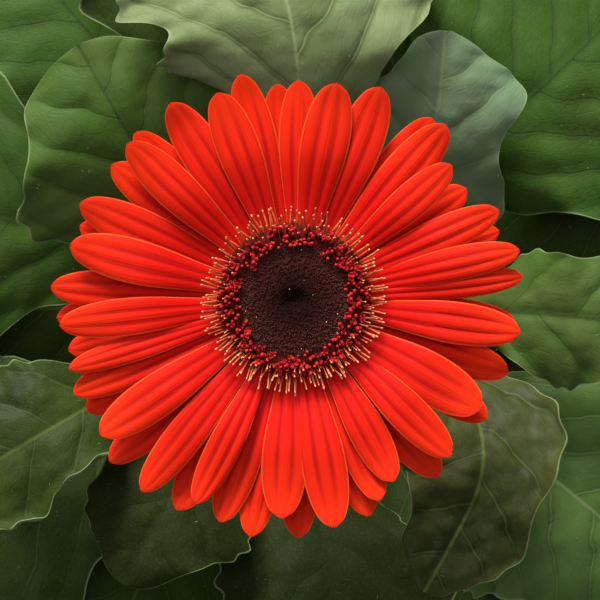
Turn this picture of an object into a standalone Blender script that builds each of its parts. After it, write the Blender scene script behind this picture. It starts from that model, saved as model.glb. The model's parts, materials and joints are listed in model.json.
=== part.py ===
"""Potted gerbera: one open red bloom over a rosette of lobed leaves in a plain clay pot.

Metres, +Z up. The origin is the centre of the pot's flat base, and the flower stem
rises on the Z axis, so that the bloom lies centred over the pot.
"""
import random
from collections import namedtuple
from math import cos, pi, radians, sin

import bmesh
import bpy
from mathutils import Vector

MM = 0.001

# Gap kept between pieces that touch
GAP = 0.3 * MM

# Pot
POT_HEIGHT = 120 * MM
POT_RIM_RADIUS = 70 * MM
POT_BASE_RADIUS = 50 * MM
RIM_BAND_HEIGHT = 22 * MM
RIM_STEP = 3 * MM
POT_WALL = 6 * MM
POT_FLOOR = 8 * MM
POT_EDGE = 1.2 * MM
BAND_TAPER = 1.5 * MM
BASE_EDGE = 1.5 * MM
POT_STEPS = 40
DRAIN_HOLES = 3
DRAIN_RADIUS = 4.5 * MM
DRAIN_CIRCLE = 26 * MM
DRAIN_SIDES = 12

# Soil
SOIL_EDGE_HEIGHT = 105 * MM
SOIL_MOUND = 3 * MM
HOLE_DEPTH = 9 * MM
HOLE_CLEARANCE = 0.4 * MM

# Flower stem, receptacle and bracts
BLOOM_HEIGHT = 226 * MM
STEM_FOOT = (3.5 * MM, -2.5 * MM)
STEM_RADIUS = 3.0 * MM
STEM_SIDES = 10
CUP_STEPS = 22
# Depth below the receptacle and radius of the cup, top to bottom
CUP_PROFILE = (
    (0, 15.5 * MM), (1.2 * MM, 15.5 * MM), (5 * MM, 13.4 * MM), (9 * MM, 9.3 * MM), (13 * MM, 4.1 * MM),
)
CUP_DEPTH = CUP_PROFILE[-1][0]
# Rows of bracts: depth of the foot, depth of the tip, lift of the tip, share of a step turned
BRACT_ROWS = ((9.5 * MM, 0.7 * MM, 0.6 * MM, 0.0), (12.6 * MM, 5.0 * MM, 1.2 * MM, 0.5))
BRACTS_PER_ROW = 11
BRACT_WIDTH = 4.2 * MM
BRACT_THICKNESS = 0.8 * MM

# Ray florets: clockwise angle from +Y in degrees, reach in mm and width in mm
RAY_ROOT = 13.2 * MM
RAY_THICKNESS = 0.7 * MM
RAY_RING = (12.0 * MM, 16.6 * MM)
RAY_RING_HEIGHT = (0.3 * MM, 4.3 * MM)
RAY_RING_STEPS = 30
FRONT_RAYS = (
    (11, 47, 10.4), (50, 44, 7.7), (66, 47.5, 7.7), (77, 49, 7.3), (84.5, 49, 6.4),
    (98, 48.5, 9.0), (119.5, 46, 10.8), (134.5, 47, 8.5), (150.5, 44, 8.1),
    (169.5, 49, 9.6), (183.5, 46.5, 9.8), (205, 48, 7.3), (219, 52, 8.1),
    (235, 50, 9.4), (253.5, 50, 5.8), (264.5, 50, 8.1), (283.5, 49, 9.6),
    (313, 48.5, 9.0), (340, 47, 9.4),
)
MIDDLE_RAYS = (
    (2, 47, 8.5), (23, 49, 10.0), (41, 49.5, 9.6), (156, 46.5, 8.0), (198, 50, 8.5),
    (247.5, 51, 8.0), (273.5, 52, 8.5), (295, 50, 9.0), (307, 48.5, 8.5),
    (328.5, 49.5, 9.5), (347.5, 49.5, 8.5),
)
BACK_RAYS = (
    (37, 49, 8.5), (56.5, 44, 8.0), (71.5, 46.5, 7.5), (96, 48, 8.5), (109, 48.5, 8.5), (121.5, 48.5, 8.5),
    (141, 49, 9.0), (161, 49, 8.5), (178.5, 51, 9.0), (190, 51.5, 8.5), (209, 51.5, 9.0),
    (228.5, 52.5, 8.5), (242, 50.5, 8.5), (257, 49.5, 8.0), (265, 51, 9.0), (289.5, 48.5, 8.5),
    (316.5, 49.5, 8.5), (347, 47, 9.0), (355.5, 46.5, 8.0),
)
# Heights over the receptacle of each layer's roots, shoulders and tips
FRONT_HEIGHTS = (3.0 * MM, 8.2 * MM, 8.4 * MM)
MIDDLE_HEIGHTS = (2.0 * MM, 5.4 * MM, 5.7 * MM)
BACK_HEIGHTS = (1.2 * MM, 2.9 * MM, 3.0 * MM)
RAY_SHOULDER_AT = 0.6
RAY_ARCH = 0.9 * MM
RAY_STAGGER = 1.1 * MM
RAY_STATIONS = (0.0, 0.20, 0.48, 0.82, 1.0)
RAY_WIDTHS = (0.34, 0.46, 0.90, 0.94, 0.30)

# Disc florets
DISC_RADIUS = 11.7 * MM
DISC_BASE = 0.3 * MM
DISC_EDGE_HEIGHT = 5.4 * MM
DISC_DOME = 1.4 * MM
DISC_PIT_DEPTH = 1.8 * MM
DISC_PIT_RADIUS = 3.4 * MM
DISC_RINGS = 7
DISC_STEPS = 30
FLORET_RELIEF = 0.35 * MM

# Inner florets and stamens, which stand on the ring of ray roots
INNER_RING = (12.1 * MM, 14.5 * MM)
INNER_COUNT = 30
INNER_REACH = 2.6 * MM
INNER_RISE = 3.0 * MM
INNER_THICKNESS = 1.1 * MM
STAMEN_RING = (14.8 * MM, 16.3 * MM)
STAMEN_COUNT = 54
STAMEN_REACH = (17.0 * MM, 20.2 * MM)
STAMEN_RISE = (3.6 * MM, 5.2 * MM)
STAMEN_THICKNESS = 0.8 * MM
UPPER_RINGS_BASE = 4.6 * MM
UPPER_RINGS_TOP = 5.9 * MM
UPPER_RING_STEPS = 24
SPIKE_SINK = 0.8 * MM

# Leaves: azimuth, turn and roll in degrees, phase of the waved edge in turns, lobe is a share of
# the usual depth of the lobes, the rest in mm
Leaf = namedtuple("Leaf", "name azimuth turn foot stalk reach rise half_width droop roll phase lobe")
LEAVES = (
    Leaf("leaf_low_1", 3, 10, 26, 9, 104, 33, 37, 34, 4, 0.10, 1.0),
    Leaf("leaf_low_2", 64, -8, 33, 9, 98, 36, 33, 30, -4, 0.45, 1.0),
    Leaf("leaf_low_3", 127, 8, 33, 9, 106, 33, 33, 34, 4, 0.80, 1.0),
    Leaf("leaf_low_4", 182, -8, 33, 9, 98, 35, 33, 32, 4, 0.25, 1.0),
    Leaf("leaf_low_5", 241, 8, 33, 9, 102, 32, 33, 28, -4, 0.60, 1.0),
    Leaf("leaf_low_6", 302, -8, 33, 9, 106, 36, 33, 34, 3, 0.95, 1.0),
    Leaf("leaf_mid_1", 40, 6, 22, 16, 112, 54, 38, 20, 4, 0.15, 1.0),
    Leaf("leaf_mid_2", 104, -8, 22, 16, 112, 49, 31, 18, 4, 0.50, 1.0),
    Leaf("leaf_mid_3", 164, 10, 22, 16, 108, 54, 31, 20, -4, 0.85, 1.0),
    Leaf("leaf_mid_4", 214, -6, 22, 16, 108, 49, 31, 20, 4, 0.30, 1.0),
    Leaf("leaf_mid_5", 277, 2, 22, 16, 90, 54, 27, 20, -3, 0.65, 1.0),
    Leaf("leaf_mid_6", 326, -8, 22, 16, 112, 49, 32, 18, 4, 0.05, 1.0),
    Leaf("leaf_top_1", 88, 30, 11.5, 20, 114, 80, 34, 18, 2, 0.20, 1.3),
    Leaf("leaf_top_2", 139, -20, 12.5, 16, 66, 69, 30, 12, 4, 0.30, 1.0),
    Leaf("leaf_top_3", 43, 42, 13.5, 12, 62, 67, 21.5, 12, -4, 1.0, 2.0),
    Leaf("leaf_top_4", 357, -4, 12.5, 20, 96, 70, 16, 18, 4, 0.35, 1.0),
    Leaf("leaf_top_5", 336, -94, 11.5, 22, 83, 80, 18.5, 18, 4, 0.30, 1.3),
    Leaf("leaf_top_6", 237, 4, 13.5, 18, 64, 66, 20, 12, 4, 0.12, 1.0),
    Leaf("leaf_top_7", 207, 6, 12.0, 24, 100, 77, 18, 18, 8, 0.47, 1.0),
)
STALK_RADIUS = 2.1 * MM
STALK_DEPTH = 8.4 * MM
LINE_STEPS = 60
TURN_FROM = 0.15
TURN_TO = 0.80
LEAF_PEAK_AT = 58 * MM
DROOP_RUN = 50 * MM
LEAF_RISE_POWER = 2.2
LEAF_THICKNESS = 0.8 * MM
MIDRIB_THICKNESS = 1.6 * MM
LEAF_CAMBER = 2.6 * MM
LEAF_WAVE = 2.4 * MM
LOBE_LENGTH = 27 * MM
LOBE_DEPTH = 0.11
EDGE_SHIFT = 0.2
TIP_WIDTH = 1.6 * MM
STALK_STATIONS = 2
BLADE_STATIONS = 11
BLADE_SPANS = 4
STALK_SIDES = 2 * (BLADE_SPANS + 1)

# Colours: linear red, green, blue
CLAY_COLOUR = (0.48, 0.17, 0.08)
SOIL_COLOUR = (0.035, 0.022, 0.014)
STEM_COLOUR = (0.13, 0.21, 0.06)
RAY_COLOUR = (0.78, 0.035, 0.012)
INNER_COLOUR = (0.42, 0.012, 0.02)
STAMEN_COLOUR = (0.80, 0.38, 0.13)
DISC_COLOUR = (0.035, 0.010, 0.012)
LEAF_COLOUR = (0.05, 0.11, 0.03)


def clear_scene():
    for old in list(bpy.data.objects):
        bpy.data.objects.remove(old, do_unlink=True)


def new_collection(name, parent=None):
    collection = bpy.data.collections.new(name)
    holder = parent or bpy.context.scene.collection
    holder.children.link(collection)
    return collection


def plain_material(name, colour, roughness):
    material = bpy.data.materials.new(name)
    material.use_nodes = True
    shader = material.node_tree.nodes["Principled BSDF"]
    shader.inputs["Base Color"].default_value = (*colour, 1.0)
    shader.inputs["Roughness"].default_value = roughness
    shader.inputs["Metallic"].default_value = 0.0
    return material


def object_from_bmesh(name, bm, collection, material=None):
    bmesh.ops.recalc_face_normals(bm, faces=bm.faces)
    mesh = bpy.data.meshes.new(name)
    bm.to_mesh(mesh)
    bm.free()
    made = bpy.data.objects.new(name, mesh)
    collection.objects.link(made)
    if material:
        mesh.materials.append(material)
    return made


def smooth(part, angle=40):
    part.data.shade_smooth()
    part.data.set_sharp_from_angle(angle=radians(angle))


def apply_modifiers(part):
    graph = bpy.context.evaluated_depsgraph_get()
    finished = bpy.data.meshes.new_from_object(part.evaluated_get(graph))
    part.modifiers.clear()
    part.data = finished


def smoothstep(low, high, value):
    share = min(max((value - low) / (high - low), 0.0), 1.0)
    return share * share * (3 - 2 * share)


def turned(name, profile, steps, collection, material):
    """Turns a profile of (radius, height) points, inner top first, round the Z axis."""
    bm = bmesh.new()
    points = [bm.verts.new((radius, 0, height)) for radius, height in profile]
    for first, second in zip(points, points[1:]):
        bm.edges.new((first, second))
    mesh = bpy.data.meshes.new(name)
    bm.to_mesh(mesh)
    bm.free()
    part = bpy.data.objects.new(name, mesh)
    collection.objects.link(part)
    mesh.materials.append(material)
    screw = part.modifiers.new("turn", "SCREW")
    screw.axis = "Z"
    screw.steps = steps
    screw.render_steps = steps
    screw.use_merge_vertices = True
    screw.merge_threshold = 0.00001
    return part


def fuse(part, loose):
    """Joins every object of the collection into the part, then removes them."""
    union = part.modifiers.new("fuse", "BOOLEAN")
    union.operation = "UNION"
    union.operand_type = "COLLECTION"
    union.collection = loose
    union.solver = "MANIFOLD"
    apply_modifiers(part)
    for member in list(loose.objects):
        bpy.data.objects.remove(member, do_unlink=True)
    bpy.data.collections.remove(loose)


def cut(part, cutters):
    carve = part.modifiers.new("cut", "BOOLEAN")
    carve.operation = "DIFFERENCE"
    carve.operand_type = "COLLECTION"
    carve.collection = cutters
    apply_modifiers(part)


def cylinder_cutter(name, centre, radius, bottom, top, sides, collection, turn=0.0):
    bm = bmesh.new()
    bmesh.ops.create_cone(bm, cap_ends=True, segments=sides, radius1=radius, radius2=radius,
                          depth=top - bottom)
    cutter = object_from_bmesh(name, bm, collection)
    cutter.location = (centre[0], centre[1], (top + bottom) / 2)
    cutter.rotation_euler.z = turn
    cutter.hide_render = True
    cutter.display_type = "WIRE"
    return cutter


def loft(bm, rings):
    """Skins rings of equal length and closes both ends."""
    rows = [[bm.verts.new(point) for point in ring] for ring in rings]
    for near, far in zip(rows, rows[1:]):
        for index, start in enumerate(near):
            following = (index + 1) % len(near)
            bm.faces.new((start, near[following], far[following]))
            bm.faces.new((start, far[following], far[index]))
    bm.faces.new(rows[0][::-1])
    bm.faces.new(rows[-1])


def inner_pot_radius(height):
    outer = POT_BASE_RADIUS + (POT_RIM_RADIUS - RIM_STEP - POT_BASE_RADIUS) * height / POT_HEIGHT
    return outer - POT_WALL


def make_pot(collection):
    band = POT_HEIGHT - RIM_BAND_HEIGHT
    below_band = inner_pot_radius(band) + POT_WALL
    profile = [
        (0, POT_FLOOR),
        (inner_pot_radius(POT_FLOOR), POT_FLOOR),
        (inner_pot_radius(POT_HEIGHT), POT_HEIGHT - POT_EDGE),
        (inner_pot_radius(POT_HEIGHT) + POT_EDGE, POT_HEIGHT),
        (POT_RIM_RADIUS - POT_EDGE, POT_HEIGHT),
        (POT_RIM_RADIUS, POT_HEIGHT - POT_EDGE),
        (POT_RIM_RADIUS - BAND_TAPER, band + POT_EDGE),
        (POT_RIM_RADIUS - BAND_TAPER - POT_EDGE, band),
        (below_band, band),
        (POT_BASE_RADIUS, BASE_EDGE),
        (POT_BASE_RADIUS - BASE_EDGE, 0),
        (0, 0),
    ]
    clay = plain_material("clay", CLAY_COLOUR, 0.85)
    pot = turned("pot", profile, POT_STEPS, collection, clay)
    apply_modifiers(pot)
    return pot


def drill_drain_holes(pot, cutters):
    drills = new_collection("drain_cutters", cutters)
    for index in range(DRAIN_HOLES):
        turn = 2 * pi * (index + 0.5) / DRAIN_HOLES
        centre = (DRAIN_CIRCLE * cos(turn), DRAIN_CIRCLE * sin(turn))
        cylinder_cutter(f"drain_{index + 1}", centre, DRAIN_RADIUS, -MM, POT_FLOOR + MM,
                        DRAIN_SIDES, drills)
    cut(pot, drills)
    smooth(pot)


def soil_height(radius):
    edge = inner_pot_radius(SOIL_EDGE_HEIGHT)
    return SOIL_EDGE_HEIGHT + SOIL_MOUND * (1 - (radius / edge) ** 2)


def make_soil(collection, cutters):
    edge = inner_pot_radius(SOIL_EDGE_HEIGHT) - GAP
    profile = [(0, soil_height(0))]
    profile += [(edge * share, soil_height(edge * share)) for share in (0.3, 0.55, 0.8, 1.0)]
    profile += [(inner_pot_radius(POT_FLOOR + GAP) - GAP, POT_FLOOR + GAP), (0, POT_FLOOR + GAP)]
    earth = plain_material("soil", SOIL_COLOUR, 0.95)
    soil = turned("soil", profile, POT_STEPS, collection, earth)
    apply_modifiers(soil)
    holes = new_collection("stalk_cutters", cutters)
    for leaf in LEAVES:
        foot = leaf_foot(leaf)
        ground = soil_height(foot.length)
        cylinder_cutter(f"hole_{leaf.name}", foot, STALK_RADIUS + HOLE_CLEARANCE, ground - HOLE_DEPTH,
                        ground + HOLE_DEPTH, STALK_SIDES, holes, radians(leaf.azimuth))
    ground = soil_height(0)
    cylinder_cutter("hole_stem", STEM_FOOT, STEM_RADIUS + HOLE_CLEARANCE, ground - HOLE_DEPTH,
                    ground + HOLE_DEPTH, STEM_SIDES, holes)
    cut(soil, holes)
    smooth(soil, 60)
    return soil


def leaf_foot(leaf):
    azimuth = radians(leaf.azimuth)
    return Vector((cos(azimuth), sin(azimuth))) * leaf.foot * MM


def leaf_height(run, rise, droop):
    """Height over the soil of the leaf's middle line, at a run from its foot."""
    if run < LEAF_PEAK_AT:
        return rise * (1 - (1 - run / LEAF_PEAK_AT) ** LEAF_RISE_POWER)
    return rise - droop * ((run - LEAF_PEAK_AT) / DROOP_RUN) ** 2


def leaf_heading(leaf, share):
    return radians(leaf.azimuth + leaf.turn * smoothstep(TURN_FROM, TURN_TO, share))


def leaf_line(leaf, shares):
    """Points of the middle line and its heading, which turns along the blade."""
    place = leaf_foot(leaf)
    step = leaf.reach * MM / LINE_STEPS
    ground = soil_height(leaf.foot * MM) + MM
    reached = 0
    line = []
    for share in shares:
        while reached < round(share * LINE_STEPS):
            heading = leaf_heading(leaf, reached / LINE_STEPS)
            place = place + Vector((cos(heading), sin(heading))) * step
            reached += 1
        height = ground + leaf_height(share * leaf.reach * MM, leaf.rise * MM, leaf.droop * MM)
        line.append((Vector((place.x, place.y, height)), leaf_heading(leaf, share)))
    return line


def blade_half_width(along, half_width, waves, lobe):
    """Half width at a share of the blade: narrow foot, rounded tip, waved lobes."""
    if along <= 0 or along >= 1:
        return TIP_WIDTH
    body = sin(pi * along ** 0.9) ** (1.25 - 0.75 * along)
    lobes = 1 + lobe * LOBE_DEPTH * sin(2 * pi * waves)
    return max(half_width * body * lobes, TIP_WIDTH)


def leaf_ring(centre, sideways, upright, along, leaf):
    """Section of the leaf: a round stalk that opens into a thin waved blade."""
    half_width = leaf.half_width * MM
    waves = (leaf.reach - leaf.stalk) * MM / LOBE_LENGTH * along + leaf.phase
    opening = smoothstep(-0.02, 0.14, along)
    top = []
    bottom = []
    for index in range(BLADE_SPANS + 1):
        across = 1 - 2 * index / BLADE_SPANS
        around = pi * (index + 0.5) / (BLADE_SPANS + 1)
        shift = EDGE_SHIFT if across >= 0 else -EDGE_SHIFT
        reach = blade_half_width(along, half_width, waves + shift, leaf.lobe)
        ripple = LEAF_WAVE * sin(2 * pi * (waves - shift))
        crest = (ripple - LEAF_CAMBER) * across ** 2 * min(1, reach / (0.5 * half_width))
        rib = MIDRIB_THICKNESS * (1 - 0.6 * along) * (1 - abs(across)) ** 3
        blade_top = Vector((reach * across, crest + LEAF_THICKNESS / 2))
        blade_bottom = Vector((reach * across, crest - LEAF_THICKNESS / 2 - rib))
        stalk_top = Vector((cos(around), sin(around))) * STALK_RADIUS
        stalk_bottom = Vector((cos(around), -sin(around))) * STALK_RADIUS
        top.append(stalk_top.lerp(blade_top, opening))
        bottom.append(stalk_bottom.lerp(blade_bottom, opening))
    return [centre + sideways * point.x + upright * point.y for point in top + bottom[::-1]]


def make_leaf(leaf, collection, material):
    stalk_share = leaf.stalk / leaf.reach
    blade_share = 1 - stalk_share
    shares = [stalk_share * index / STALK_STATIONS for index in range(STALK_STATIONS)]
    for index in range(BLADE_STATIONS + 1):
        shares.append(stalk_share + blade_share * index / BLADE_STATIONS)
    line = leaf_line(leaf, shares)
    line.insert(0, (line[0][0] - Vector((0, 0, STALK_DEPTH + MM)), line[0][1]))
    shares.insert(0, 0.0)
    rings = []
    for index, (centre, heading) in enumerate(line):
        before = line[max(index - 1, 0)][0]
        after = line[min(index + 1, len(line) - 1)][0]
        tangent = (after - before).normalized()
        along = (shares[index] - stalk_share) / blade_share
        lean = radians(leaf.roll) * smoothstep(0.0, 0.3, along)
        flat = Vector((-sin(heading), cos(heading), 0))
        sideways = flat * cos(lean) + tangent.cross(flat).normalized() * sin(lean)
        upright = tangent.cross(sideways).normalized()
        rings.append(leaf_ring(centre, sideways, upright, along, leaf))
    bm = bmesh.new()
    loft(bm, rings)
    smooth(object_from_bmesh(leaf.name, bm, collection, material), 60)


def stem_line(count):
    """The stem leaves the soil beside the axis and curves to it below the bloom."""
    low = soil_height(0) - HOLE_DEPTH + 0.6 * MM
    straight = soil_height(0) + 2 * MM
    top = BLOOM_HEIGHT - CUP_DEPTH + 2 * MM
    line = [Vector((*STEM_FOOT, low)), Vector((*STEM_FOOT, straight))]
    for index in range(1, count):
        share = index / (count - 1)
        keep = 1 - smoothstep(0.0, 1.0, share)
        height = straight + (top - straight) * share
        line.append(Vector((STEM_FOOT[0] * keep, STEM_FOOT[1] * keep, height)))
    return line


def cup_radius(depth):
    for (upper, wide), (lower, narrow) in zip(CUP_PROFILE, CUP_PROFILE[1:]):
        if depth <= lower:
            return wide + (narrow - wide) * (depth - upper) / (lower - upper)
    return CUP_PROFILE[-1][1]


def make_bracts(loose):
    """Rows of narrow pointed bracts, pressed to the cup, tips standing free."""
    for foot, tip, lift, offset in BRACT_ROWS:
        for index in range(BRACTS_PER_ROW):
            turn = 2 * pi * (index + offset) / BRACTS_PER_ROW
            out = Vector((cos(turn), sin(turn), 0))
            across = Vector((-sin(turn), cos(turn), 0))
            rings = []
            for share, width in ((0, 0.5), (0.4, 1.0), (0.8, 0.7), (1.0, 0.15)):
                depth = foot + (tip - foot) * share
                radius = cup_radius(depth) + lift * share ** 2
                middle = out * (radius - BRACT_THICKNESS / 2) + Vector((0, 0, BLOOM_HEIGHT - depth))
                half = across * BRACT_WIDTH / 2 * width
                ridge = out * BRACT_THICKNESS * (0.5 + width)
                rings.append([middle - half, middle + half, middle + ridge])
            bm = bmesh.new()
            loft(bm, rings)
            object_from_bmesh("bract", bm, loose)


def make_stem(collection):
    green = plain_material("stem", STEM_COLOUR, 0.6)
    top = BLOOM_HEIGHT
    profile = [(0, top)] + [(radius, top - depth) for depth, radius in CUP_PROFILE]
    profile.append((0, top - CUP_DEPTH - 1.5 * MM))
    stem = turned("flower_stem", profile, CUP_STEPS, collection, green)
    apply_modifiers(stem)
    loose = new_collection("loose_stem")
    bm = bmesh.new()
    rings = []
    for centre in stem_line(7):
        ring = []
        for index in range(STEM_SIDES):
            turn = 2 * pi * index / STEM_SIDES
            ring.append(centre + Vector((cos(turn), sin(turn), 0)) * STEM_RADIUS)
        rings.append(ring)
    loft(bm, rings)
    object_from_bmesh("stalk", bm, loose)
    make_bracts(loose)
    fuse(stem, loose)
    smooth(stem)
    return stem


def ring_solid(name, radii, heights, steps, collection, material):
    profile = [(radii[0], heights[1]), (radii[1], heights[1]), (radii[1], heights[0]),
               (radii[0], heights[0]), (radii[0], heights[1])]
    ring = turned(name, profile, steps, collection, material)
    weld = ring.modifiers.new("weld", "WELD")
    weld.merge_threshold = 0.00001
    apply_modifiers(ring)
    return ring


def ray_height(share, heights):
    root, shoulder, tip = heights
    if share < RAY_SHOULDER_AT:
        return root + (shoulder - root) * smoothstep(0, RAY_SHOULDER_AT, share)
    return shoulder - (shoulder - tip) * ((share - RAY_SHOULDER_AT) / (1 - RAY_SHOULDER_AT)) ** 2


def make_ray(row, heights, sway, loose):
    """One strap petal: arched across, narrow at its root and blunt at its tip."""
    angle, reach, width = row
    turn = pi / 2 - radians(angle)
    out = Vector((cos(turn), sin(turn), 0))
    across = Vector((-sin(turn), cos(turn), 0))
    rings = []
    for share, swell in zip(RAY_STATIONS, RAY_WIDTHS):
        radius = RAY_ROOT + (reach * MM - RAY_ROOT) * share
        centre = out * radius
        centre.z = BLOOM_HEIGHT + ray_height(share, heights) + sway * smoothstep(0.1, 0.5, share)
        half = across * width * MM / 2 * swell
        arch = Vector((0, 0, RAY_ARCH * swell))
        skin = Vector((0, 0, RAY_THICKNESS / 2))
        rings.append([centre - half - arch + skin, centre + skin, centre + half - arch + skin,
                      centre + half - arch - skin, centre - skin, centre - half - arch - skin])
    bm = bmesh.new()
    loft(bm, rings)
    object_from_bmesh("ray", bm, loose)


def make_ray_florets(collection):
    red = plain_material("ray_petals", RAY_COLOUR, 0.45)
    heights = [BLOOM_HEIGHT + height for height in RAY_RING_HEIGHT]
    rays = ring_solid("ray_florets", RAY_RING, heights, RAY_RING_STEPS, collection, red)
    loose = new_collection("loose_rays")
    layers = ((FRONT_RAYS, FRONT_HEIGHTS), (MIDDLE_RAYS, MIDDLE_HEIGHTS), (BACK_RAYS, BACK_HEIGHTS))
    for rows, levels in layers:
        for index, row in enumerate(rows):
            make_ray(row, levels, (index % 2 - 0.5) * RAY_STAGGER, loose)
    fuse(rays, loose)
    smooth(rays)
    return rays


def make_disc_florets(collection):
    """A low dome with a sunken middle, its florets raised by formula on a polar grid."""
    bm = bmesh.new()
    base = BLOOM_HEIGHT + DISC_BASE
    rows = []
    for ring in range(1, DISC_RINGS + 1):
        share = ring / DISC_RINGS
        row = []
        for step in range(DISC_STEPS):
            turn = 2 * pi * (step + 0.5 * (ring % 2)) / DISC_STEPS
            radius = DISC_RADIUS * share
            dome = DISC_DOME * (1 - share ** 4)
            pit = DISC_PIT_DEPTH * (1 - smoothstep(0.0, DISC_PIT_RADIUS, radius))
            bump = FLORET_RELIEF * (1 if (step + ring) % 2 else -1) * (ring < DISC_RINGS)
            height = BLOOM_HEIGHT + DISC_EDGE_HEIGHT + dome - pit + bump
            row.append(bm.verts.new((radius * cos(turn), radius * sin(turn), height)))
        rows.append(row)
    rows.append([bm.verts.new((vert.co.x, vert.co.y, base)) for vert in rows[-1]])
    middle = bm.verts.new((0, 0, BLOOM_HEIGHT + DISC_EDGE_HEIGHT + DISC_DOME - DISC_PIT_DEPTH))
    for step in range(DISC_STEPS):
        following = (step + 1) % DISC_STEPS
        bm.faces.new((middle, rows[0][step], rows[0][following]))
        for near, far in zip(rows, rows[1:]):
            bm.faces.new((near[step], far[step], far[following]))
            bm.faces.new((near[step], far[following], near[following]))
    bm.faces.new(rows[-1][::-1])
    return object_from_bmesh("disc_florets", bm, collection, plain_material("disc", DISC_COLOUR, 0.9))


def spike(loose, turn, start, end, thickness):
    """A tapered three-sided spike between two points, each (radius, height)."""
    out = Vector((cos(turn), sin(turn), 0))
    across = Vector((-sin(turn), cos(turn), 0))
    rings = []
    for (radius, height), size in ((start, thickness), (end, thickness * 0.55)):
        centre = out * radius + Vector((0, 0, height))
        foot = centre - Vector((0, 0, 0.3 * size))
        half = across * size / 2
        rings.append([foot - half, foot + half, centre + Vector((0, 0, 0.6 * size))])
    bm = bmesh.new()
    loft(bm, rings)
    object_from_bmesh("spike", bm, loose)


def make_inner_florets(collection):
    crimson = plain_material("inner_florets", INNER_COLOUR, 0.6)
    heights = (BLOOM_HEIGHT + UPPER_RINGS_BASE, BLOOM_HEIGHT + UPPER_RINGS_TOP)
    ring = ring_solid("inner_florets", INNER_RING, heights, UPPER_RING_STEPS, collection, crimson)
    loose = new_collection("loose_inner")
    draw = random.Random(5)
    middle = (INNER_RING[0] + INNER_RING[1]) / 2
    for index in range(INNER_COUNT):
        turn = 2 * pi * (index + draw.uniform(-0.2, 0.2)) / INNER_COUNT
        start = (middle, heights[0] + SPIKE_SINK)
        reach = middle + INNER_REACH * draw.uniform(-0.2, 1.0)
        end = (reach, heights[1] + INNER_RISE * draw.uniform(0.7, 1.0))
        spike(loose, turn, start, end, INNER_THICKNESS)
    fuse(ring, loose)
    return ring


def make_stamens(collection):
    gold = plain_material("stamens", STAMEN_COLOUR, 0.5)
    heights = (BLOOM_HEIGHT + UPPER_RINGS_BASE, BLOOM_HEIGHT + UPPER_RINGS_TOP)
    ring = ring_solid("stamens", STAMEN_RING, heights, UPPER_RING_STEPS, collection, gold)
    loose = new_collection("loose_stamens")
    draw = random.Random(11)
    for index in range(STAMEN_COUNT):
        turn = 2 * pi * (index + draw.uniform(-0.15, 0.15)) / STAMEN_COUNT
        start = (STAMEN_RING[0] + SPIKE_SINK, heights[0] + SPIKE_SINK)
        end = (draw.uniform(*STAMEN_REACH), heights[1] + draw.uniform(*STAMEN_RISE))
        spike(loose, turn, start, end, STAMEN_THICKNESS)
    fuse(ring, loose)
    return ring


def main():
    clear_scene()
    plant = new_collection("potted_gerbera")
    cutters = new_collection("cutters")
    pot = make_pot(plant)
    drill_drain_holes(pot, cutters)
    make_soil(plant, cutters)
    leaf_green = plain_material("leaf", LEAF_COLOUR, 0.6)
    for leaf in LEAVES:
        make_leaf(leaf, plant, leaf_green)
    make_stem(plant)
    make_ray_florets(plant)
    make_disc_florets(plant)
    make_inner_florets(plant)
    make_stamens(plant)


main()
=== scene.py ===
"""Potted gerbera, dressed: one open red bloom over a rosette of lobed leaves in a clay pot.

The file is laid out as a Blender add-on and is run as a script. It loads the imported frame,
builds every visible piece round it in metres with +Z up, and sets the camera, the lights
and the floor.
"""
import json
from collections import namedtuple
from math import atan, cos, pi, radians, sin, tan

import bpy
import numpy as np
from bpy.props import FloatProperty, FloatVectorProperty, IntProperty, PointerProperty
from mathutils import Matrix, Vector, noise

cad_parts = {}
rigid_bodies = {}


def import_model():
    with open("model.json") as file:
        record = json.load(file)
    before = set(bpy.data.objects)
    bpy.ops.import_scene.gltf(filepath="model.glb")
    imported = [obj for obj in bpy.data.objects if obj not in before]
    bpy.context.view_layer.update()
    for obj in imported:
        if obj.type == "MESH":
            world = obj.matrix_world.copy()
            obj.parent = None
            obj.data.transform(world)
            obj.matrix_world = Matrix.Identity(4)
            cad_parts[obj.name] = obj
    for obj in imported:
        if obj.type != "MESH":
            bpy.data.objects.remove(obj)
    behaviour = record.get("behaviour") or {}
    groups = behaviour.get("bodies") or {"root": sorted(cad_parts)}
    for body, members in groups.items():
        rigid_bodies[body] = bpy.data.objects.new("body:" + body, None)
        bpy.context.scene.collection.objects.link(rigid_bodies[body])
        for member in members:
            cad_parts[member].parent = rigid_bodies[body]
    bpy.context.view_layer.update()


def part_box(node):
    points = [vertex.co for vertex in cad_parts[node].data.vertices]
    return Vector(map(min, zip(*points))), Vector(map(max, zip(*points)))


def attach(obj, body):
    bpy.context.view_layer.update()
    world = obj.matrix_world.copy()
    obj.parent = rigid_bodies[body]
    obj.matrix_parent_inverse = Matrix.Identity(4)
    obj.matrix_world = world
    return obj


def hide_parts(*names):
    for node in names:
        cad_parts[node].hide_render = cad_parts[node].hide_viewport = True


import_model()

bl_info = {
    "name": "Potted gerbera",
    "version": (1, 0, 0),
    "blender": (4, 5, 0),
    "location": "View3D > Sidebar > Gerbera",
    "description": "Dresses a gerbera in a clay pot, piece by piece",
    "category": "Object",
}

MM = 0.001

# Driving sizes, read from the frame
BLOOM_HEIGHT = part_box("flower_stem")[1].z
POT_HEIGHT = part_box("pot")[1].z
POT_RIM_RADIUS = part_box("pot")[1].x

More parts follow.
